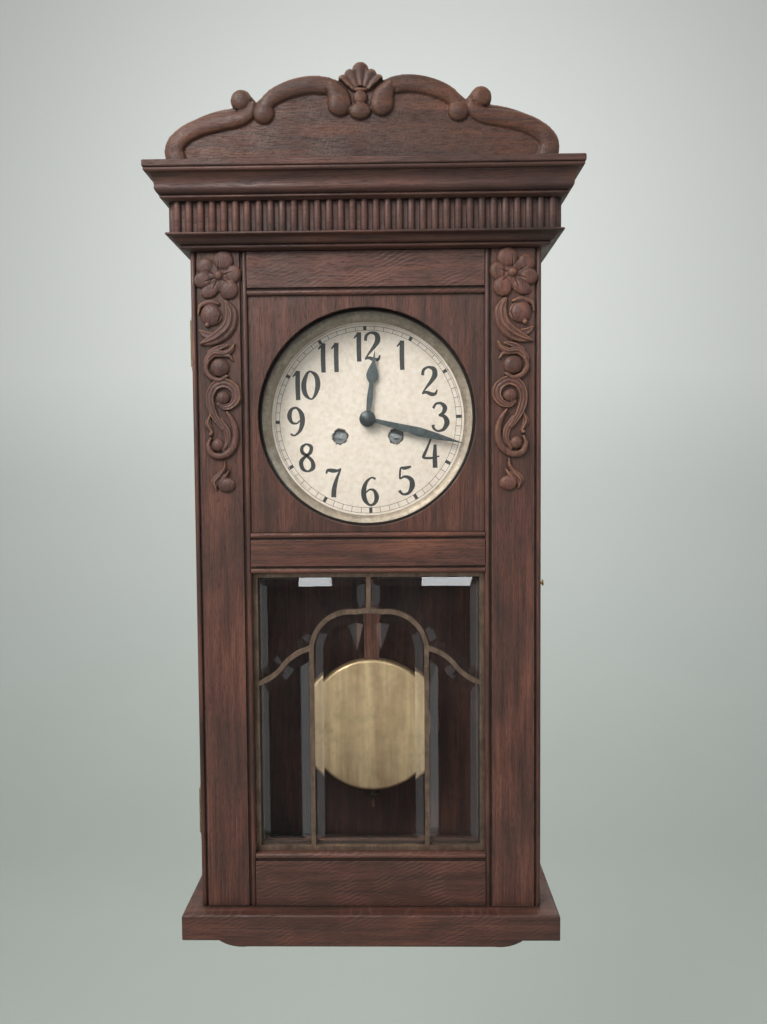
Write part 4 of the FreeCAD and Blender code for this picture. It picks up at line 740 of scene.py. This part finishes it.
class Print:
    """Thin layers of ink on the dial, gathered into one mesh."""

    def __init__(self, dial_y, centre_z):
        self.vertices, self.faces = [], []
        self.y, self.z = dial_y, centre_z
        self.layers = 0

    def ribbon(self, left, right, closed=False):
        """A flat strip between two lines of (x, z) points, turned with the whole print."""
        self.layers += 1
        front = self.y - 0.03 - 0.001 * (self.layers % 7)
        c, s = math.cos(PRINT_TURN), math.sin(PRINT_TURN)
        ring = [(x * c - z * s, x * s + z * c + self.z) for pair in zip(left, right) for x, z in pair]
        start = len(self.vertices)
        self.vertices += [(x, front, z) for x, z in ring] + [(x, self.y + 0.05, z) for x, z in ring]
        total, count = len(ring), len(left)
        for k in range(count if closed else count - 1):
            a, b = start + 2 * k, start + 2 * k + 1
            d, e = start + 2 * ((k + 1) % count), start + 2 * ((k + 1) % count) + 1
            self.faces += [(a, d, e, b), (a + total, b + total, e + total, d + total),
                           (a, a + total, d + total, d), (b, e, e + total, b + total)]
        if not closed:
            last = start + total - 2
            self.faces.append((start + 1 + total, start + total, start, start + 1))
            self.faces.append((last, last + total, last + 1 + total, last + 1))

    def stroke(self, points, place, size):
        """One stroke of a numeral, swelling and thinning with its widths."""
        line = curve_through(points, 7)
        along = np.gradient(line[:, :2], axis=0)
        along /= np.maximum(np.hypot(*along.T), 1e-9)[:, None]
        out = np.stack([-along[:, 1], along[:, 0]], 1) * line[:, 2:3] * STROKE_WEIGHT / 2
        left = (line[:, :2] + out) * size + place
        right = (line[:, :2] - out) * size + place
        self.ribbon(left, right)

    def numeral(self, text, x, z):
        """An hour's numeral, centred at (x, z)."""
        for k, digit in enumerate(text):
            shift = (k - (len(text) - 1) / 2) * 2 * PAIR_HALF
            for stroke in STROKES[digit]:
                self.stroke(stroke, np.array([x + shift, z]), NUMERAL_HEIGHT)

    def ring(self, radius, width, count=180):
        """A circle round the dial's centre."""
        turn = [2 * math.pi * k / count for k in range(count)]
        left = [((radius - width / 2) * math.sin(a), (radius - width / 2) * math.cos(a)) for a in turn]
        right = [((radius + width / 2) * math.sin(a), (radius + width / 2) * math.cos(a)) for a in turn]
        self.ribbon(left, right, closed=True)

    def bar(self, angle, inner, outer, width):
        """A radial bar between two radii."""
        c, s = math.cos(angle), math.sin(angle)
        half = width / 2
        left = [(r * s - half * c, r * c + half * s) for r in (inner, outer)]
        right = [(r * s + half * c, r * c - half * s) for r in (inner, outer)]
        self.ribbon(left, right)


def dial_print(material):
    """The numerals and the minute track, as thin raised ink on the dial."""
    layers = Print(lowest("dial_plate").y, DIAL_Z)
    for hour in range(1, 13):
        angle = math.radians(30 * hour)
        layers.numeral(str(hour), NUMERAL_RADIUS * math.sin(angle), NUMERAL_RADIUS * math.cos(angle))
    inner, outer = TRACK_RADIUS - TRACK_HALF, TRACK_RADIUS + TRACK_HALF
    for radius in (inner, outer):
        layers.ring(radius, TRACK_LINE)
    for minute in range(60):
        layers.bar(math.radians(6 * minute), inner, outer, MINUTE_BAR if minute % 5 else HOUR_BAR)
    made = piece("dial_print", layers.vertices, layers.faces, "case", material, smooth=False)
    face_outwards(made)


# ---------------------------------------------------------------- materials of the clock

def dial_paint():
    """Cream dial paint, mottled with age and worn to the metal round the winding holes."""
    s = Shading("dial_paint")
    mottle = s.noise(s.place, 260, 4, 0.6)
    grains = s.noise(s.place, 1500, 2, 0.5)
    base = s.ramp(mottle, [(0.30, colour(0.70, 0.58, 0.48)), (0.55, colour(0.79, 0.685, 0.60)),
                           (0.75, colour(0.83, 0.735, 0.66))])
    base = s.blend(s.step(grains, 0.60, 0.70, 0.0, 0.35), base, colour(0.52, 0.43, 0.31))
    bare = None
    for side in (-1, 1):
        hole = (side * WINDING_X * MM, DIAL_FRONT * MM, WINDING_Z * MM)
        away = s.node("VectorMath", {0: s.place, 1: hole}, operation="DISTANCE").outputs["Value"]
        ragged = s.maths("ADD", away, s.maths("MULTIPLY", s.noise(s.place, 420, 4, 0.7), 0.0060))
        worn = s.step(ragged, 0.0108, 0.0101)
        bare = worn if bare is None else s.maths("MAXIMUM", bare, worn)
    base = s.blend(bare, base, colour(0.065, 0.048, 0.038))
    s.set(Base_Color=base, Roughness=s.step(mottle, 0.3, 0.7, 0.42, 0.58))
    s.bump(s.maths("ADD", grains, s.maths("MULTIPLY", bare, -1.5)), 0.00005, 0.5)
    return s.material


def ink():
    """Black printing ink, worn thin in places."""
    s = Shading("dial_ink")
    wear = s.noise(s.place, 800, 3, 0.6)
    base = s.ramp(wear, [(0.35, colour(0.026, 0.028, 0.028)), (0.62, colour(0.052, 0.050, 0.047)),
                         (0.74, colour(0.14, 0.12, 0.10))])
    s.set(Base_Color=base, Roughness=s.step(wear, 0.3, 0.7, 0.45, 0.65))
    return s.material


DIAL_Z = middle("dial_plate").z
DIAL_FRONT = lowest("dial_plate").y
WINDING_X = middle("time_winding_arbor").x * -1
WINDING_Z = middle("time_winding_arbor").z

# piece: (grain, shift, tone, warmth, flecks, mitred, dull)
OAK = {
    "back_board": ("Z", 0.11, 0.75, 0, 0, False, 0.15),
    "left_side": ("Z", 0.23, 0.92, 0, 0.10, False, 0.04),
    "right_side": ("Z", 0.37, 0.92, 0, 0.10, False, 0.04),
    "base_board": ("X", 0.41, 0.95, 0.8, 0.30, False, 0),
    "head_rail": ("X", 0.53, 0.8, 0, 0, False, 0.1),
    "top_board": ("X", 0.59, 0.9, 0, 0, False, 0.06),
    "seat_board": ("X", 0.61, 0.9, 0, 0, False, 0.2),
    "frieze": ("X", 0.67, 0.98, 0, 0, True, 0),
    "lower_cornice_moulding": ("X", 0.71, 0.98, 0, 0, True, 0),
    "cornice_crown": ("X", 0.79, 0.98, 0, 0, True, 0),
    "left_stile": ("Z", 0.83, 1.08, 0.4, 0, False, 0),
    "right_stile": ("Z", 0.97, 1.15, 0.5, 0, False, 0),
    "top_rail": ("X", 1.03, 1.08, 0.3, 0.55, False, 0),
    "middle_rail": ("X", 1.13, 1.28, 1.0, 0.12, False, 0),
    "bottom_rail": ("X", 1.27, 0.90, 0.6, 0.6, False, 0),
    "glazing_frame": ("Z", 1.31, 0.8, 0, 0, False, 0.1),
    "dial_glass_ring": ("X", 1.37, 0.7, 0, 0, False, 0),
    "dial_panel": ("Z", 1.43, 1.05, 0.6, 0, False, 0),
    "pendulum_rod": ("Z", 1.51, 1.7, 1.2, 0, False, 0.0),
}
METALS = {
    "came_brass": dict(tint=(0.27, 0.185, 0.135), rough=0.48, streak=(1, 1, 0.2), stained=0.5,
                       stain_colour=(0.05, 0.035, 0.025), weight=0.8),
    "ring_brass": dict(tint=(0.42, 0.35, 0.28), rough=0.5, stained=0.4, stain_colour=(0.17, 0.13, 0.09),
                       weight=0.8),
    "plate_brass": dict(tint=(0.62, 0.47, 0.22), rough=0.34, streak=(1, 1, 0.06), stained=0.35),
    "wheel_brass": dict(tint=(0.70, 0.52, 0.24), rough=0.28, streak=(0.1, 1, 1), stained=0.25),
    "bob_brass": dict(tint=(0.95, 0.62, 0.37), rough=0.46, streak=(1, 1, 0.05), streak_scale=90.0,
                      stained=0.35, stain_colour=(0.34, 0.24, 0.14), weight=0.85),
    "hinge_brass": dict(tint=(0.50, 0.38, 0.18), rough=0.36, stained=0.5),
    "movement_steel": dict(tint=(0.46, 0.47, 0.48), rough=0.30, streak=(1, 0.05, 1), stained=0.15,
                           stain_colour=(0.12, 0.08, 0.05)),
    "gong_steel": dict(tint=(0.10, 0.12, 0.19), rough=0.32, stained=0.25, stain_colour=(0.05, 0.04, 0.03)),
    "cast_iron": dict(tint=(0.05, 0.05, 0.05), rough=0.6, stained=0.3, fine=0.0002, weight=0.6),
    "hanger_steel": dict(tint=(0.34, 0.33, 0.31), rough=0.42, stained=0.5, stain_colour=(0.10, 0.05, 0.03)),
    "nut_brass": dict(tint=(0.10, 0.075, 0.05), rough=0.45, stained=0.4, stain_colour=(0.03, 0.022, 0.015)),
    "hand_steel": dict(tint=(0.095, 0.108, 0.112), rough=0.36, stained=0.25,
                       stain_colour=(0.02, 0.016, 0.014), weight=0.75),
}


def finish_cad_nodes():
    """Gives each node that stays its own procedural material, and boards slightly rounded edges."""
    metals = {name: metal(name, **settings) for name, settings in METALS.items()}
    single = {"dial_glass": glass("dial_glass", (0.97, 0.985, 0.975)), "dial_plate": dial_paint(),
              "rating_nut": metals["nut_brass"]}
    for name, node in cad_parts.items():
        if name in OAK:
            grain, shift, tone, warmth, flecks, mitred, dull = OAK[name]
            material = oak("oak_" + name, grain, shift, tone, warmth, flecks, mitred, dull=dull)
        elif name in single:
            material = single[name]
        else:
            material = metals.get(node.data.materials[0].name.split(".")[0])
        if material is None:
            continue
        for slot in node.material_slots:
            slot.material = material
        if name in OAK and name not in ("dial_glass_ring", "pendulum_rod"):
            round_edges(node, 0.0005, 2)
        elif name == "came_lattice":
            round_edges(node, 0.0018, 4)


def round_edges(node, radius, segments):
    """Breaks the sharp edges of a node, as a plane and wear do."""
    weld = node.modifiers.new("weld", "WELD")
    weld.merge_threshold = 1e-6
    flat = node.modifiers.new("flat_faces", "DECIMATE")
    flat.decimate_type = "DISSOLVE"
    flat.angle_limit = math.radians(1.0)
    bevel = node.modifiers.new("round", "BEVEL")
    bevel.width = radius
    bevel.segments = segments
    bevel.limit_method = "ANGLE"
    bevel.angle_limit = math.radians(35)
    edges = node.modifiers.new("sharp_edges", "EDGE_SPLIT")
    edges.split_angle = math.radians(BOARD_EDGE)


# ---------------------------------------------------------------- stage

FLOOR_Z, FLOOR_FRONT_Y, WALL_Y, WALL_TOP_Z = -1.45, -1.8, 2.8, 3.5
SWEEP_RADIUS, SWEEP_HALF_WIDTH = 1.2, 12
CLOCK_CENTRE, WALL_CENTRE = Vector((0, -0.1, -0.26)), Vector((0, WALL_Y, 0.1))
CAMERA_PLACE, CAMERA_LENS = (0.0258, -0.8587, -0.2311), 27.71
CAMERA_YAW, CAMERA_PITCH, CAMERA_ROLL = (math.radians(a) for a in (0.923, -2.705, 0.451))

# lamp: (place, what it is aimed at, size, power, colour)
LAMPS = {
    "key": ((-0.62, -1.10, 0.70), CLOCK_CENTRE, (0.8, 0.8), 16.5, (1.0, 0.975, 0.95)),
    "fill": ((1.6, -1.5, 0.4), CLOCK_CENTRE, (1.6, 1.6), 5.0, (0.94, 0.97, 1.0)),
    "rear": ((0.8, 2.0, 1.2), CLOCK_CENTRE, (1.6, 1.6), 8.0, (1.0, 0.98, 0.95)),
    "wall": ((0.0, 0.2, 1.1), WALL_CENTRE, (1.8, 1.8), 43.0, (1.0, 1.0, 1.0)),
    "right_window": ((0.40, -4.0, 0.79), CLOCK_CENTRE, (0.44, 0.40), 7.0, (0.95, 0.98, 1.0)),
    "left_window": ((-0.47, -4.0, 0.79), CLOCK_CENTRE, (0.16, 0.40), 2.6, (0.95, 0.98, 1.0)),
    "right_wall": ((1.65, -4.0, -1.4), CLOCK_CENTRE, (1.3, 2.2), 7.5, (0.90, 0.98, 1.0)),
    "left_wall": ((-2.1, -4.0, -1.4), CLOCK_CENTRE, (1.6, 2.2), 9.5, (0.90, 0.98, 1.0)),
}


def world_light(world):
    """Light from above and from the left, dim straight in front, and a plain grey behind the clock."""
    world.use_nodes = True
    nodes, join = world.node_tree.nodes, world.node_tree.links.new
    way = nodes.new("ShaderNodeSeparateXYZ")
    join(nodes.new("ShaderNodeTexCoord").outputs["Generated"], way.inputs[0])

    def graded(axis, start, end, first, last):
        ramp = nodes.new("ShaderNodeMapRange")
        ramp.interpolation_type = "SMOOTHSTEP"
        join(way.outputs[axis], ramp.inputs["Value"])
        for key, value in (("From Min", start), ("From Max", end), ("To Min", first), ("To Max", last)):
            ramp.inputs[key].default_value = value
        return ramp.outputs["Result"]

    def maths(operation, a, b):
        made = nodes.new("ShaderNodeMath")
        made.operation = operation
        join(a, made.inputs[0])
        join(b, made.inputs[1])
        return made.outputs[0]

    above, left = graded(2, -0.3, 1.0, 0.10, 0.52), graded(0, 0.1, -0.9, 0.0, 0.22)
    light = maths("MULTIPLY", maths("ADD", above, left), graded(1, -0.80, -0.97, 1.0, 0.42))
    seen = nodes.new("ShaderNodeMix")
    join(nodes.new("ShaderNodeLightPath").outputs["Is Camera Ray"], seen.inputs[0])
    join(light, seen.inputs[2])
    seen.inputs[3].default_value = 0.46
    nodes["Background"].inputs["Color"].default_value = (1.0, 1.03, 1.0, 1)
    join(seen.outputs[0], nodes["Background"].inputs["Strength"])


def sweep():
    """A plain floor that curves up into a wall well behind the clock, with painted shade making it darker
    towards the floor.
    """
    bend = [(WALL_Y - SWEEP_RADIUS * (1 - math.sin(a)), FLOOR_Z + SWEEP_RADIUS * (1 - math.cos(a)))
            for a in (math.radians(6 * k) for k in range(16))]
    profile = [(FLOOR_FRONT_Y, FLOOR_Z), *bend, (WALL_Y, WALL_TOP_Z)]
    mesh = bpy.data.meshes.new("floor")
    mesh.from_pydata([(x, y, z) for y, z in profile for x in (-SWEEP_HALF_WIDTH, SWEEP_HALF_WIDTH)], [],
                     [(2 * k, 2 * k + 1, 2 * k + 3, 2 * k + 2) for k in range(len(profile) - 1)])
    mesh.polygons.foreach_set("use_smooth", [True] * len(mesh.polygons))
    floor = bpy.data.objects.new("floor", mesh)
    bpy.context.scene.collection.objects.link(floor)
    s = Shading("floor_paint")
    # Painted shade: the sweep's colour darkens from the wall down towards the floor.
    painted_shade_ramp = s.step(s.node("SeparateXYZ", {0: s.place}).outputs[2], FLOOR_Z, 0.3)
    height = s.maths("ADD", painted_shade_ramp, s.maths("MULTIPLY", s.noise(s.place, 3, 2, 0.5), 0.06))
    base = s.blend(height, colour(0.37, 0.405, 0.375), colour(0.76, 0.775, 0.76))
    s.set(Base_Color=base, Roughness=0.8)
    mesh.materials.append(s.material)


def stage():
    """A plain pale sweep, soft light from the upper left, and a camera straight in front."""
    scene = bpy.context.scene
    scene.world = bpy.data.worlds.new("studio")
    world_light(scene.world)
    scene.view_settings.view_transform = "Standard"
    scene.view_settings.look = "None"
    sweep()
    for name, (place, target, size, power, tint) in LAMPS.items():
        lamp = bpy.data.lights.new(name, "AREA")
        lamp.shape = "ELLIPSE" if size[0] == size[1] else "RECTANGLE"
        lamp.size, lamp.size_y = size
        lamp.energy = power
        lamp.color = tint
        holder = bpy.data.objects.new(name, lamp)
        holder.location = place
        holder.rotation_euler = (target - Vector(place)).to_track_quat("-Z", "Y").to_euler()
        scene.collection.objects.link(holder)

    lens = bpy.data.cameras.new("camera")
    lens.lens = CAMERA_LENS
    lens.sensor_width = 36.0
    lens.clip_start = 0.02
    lens.clip_end = 40.0
    camera = bpy.data.objects.new("camera", lens)
    scene.collection.objects.link(camera)
    turn = (Matrix.Rotation(CAMERA_YAW, 4, "Z") @ Matrix.Rotation(CAMERA_PITCH, 4, "X")
            @ Matrix.Rotation(CAMERA_ROLL, 4, "Y") @ Matrix.Rotation(math.radians(90), 4, "X"))
    camera.matrix_world = Matrix.Translation(CAMERA_PLACE) @ turn
    scene.camera = camera


stage()
finish_cad_nodes()
carve_stile("right_carving_relief", 1, "right_carving")
carve_stile("left_carving_relief", -1, "left_carving")
carve_crest()
pane_glass = glass("window_glass", wavy=0.0006)
centre_glass = bevelled_pane("centre_window", "centre_pane", 0, pane_glass)
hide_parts("centre_pane")
for node in ("upper_panes", "lower_panes"):
    for number, side in enumerate(("left", "right")):
        pane = bevelled_pane(f"{side}_{node.split('_')[0]}_window", node, number, pane_glass)
        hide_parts(node)
dial_print(ink())
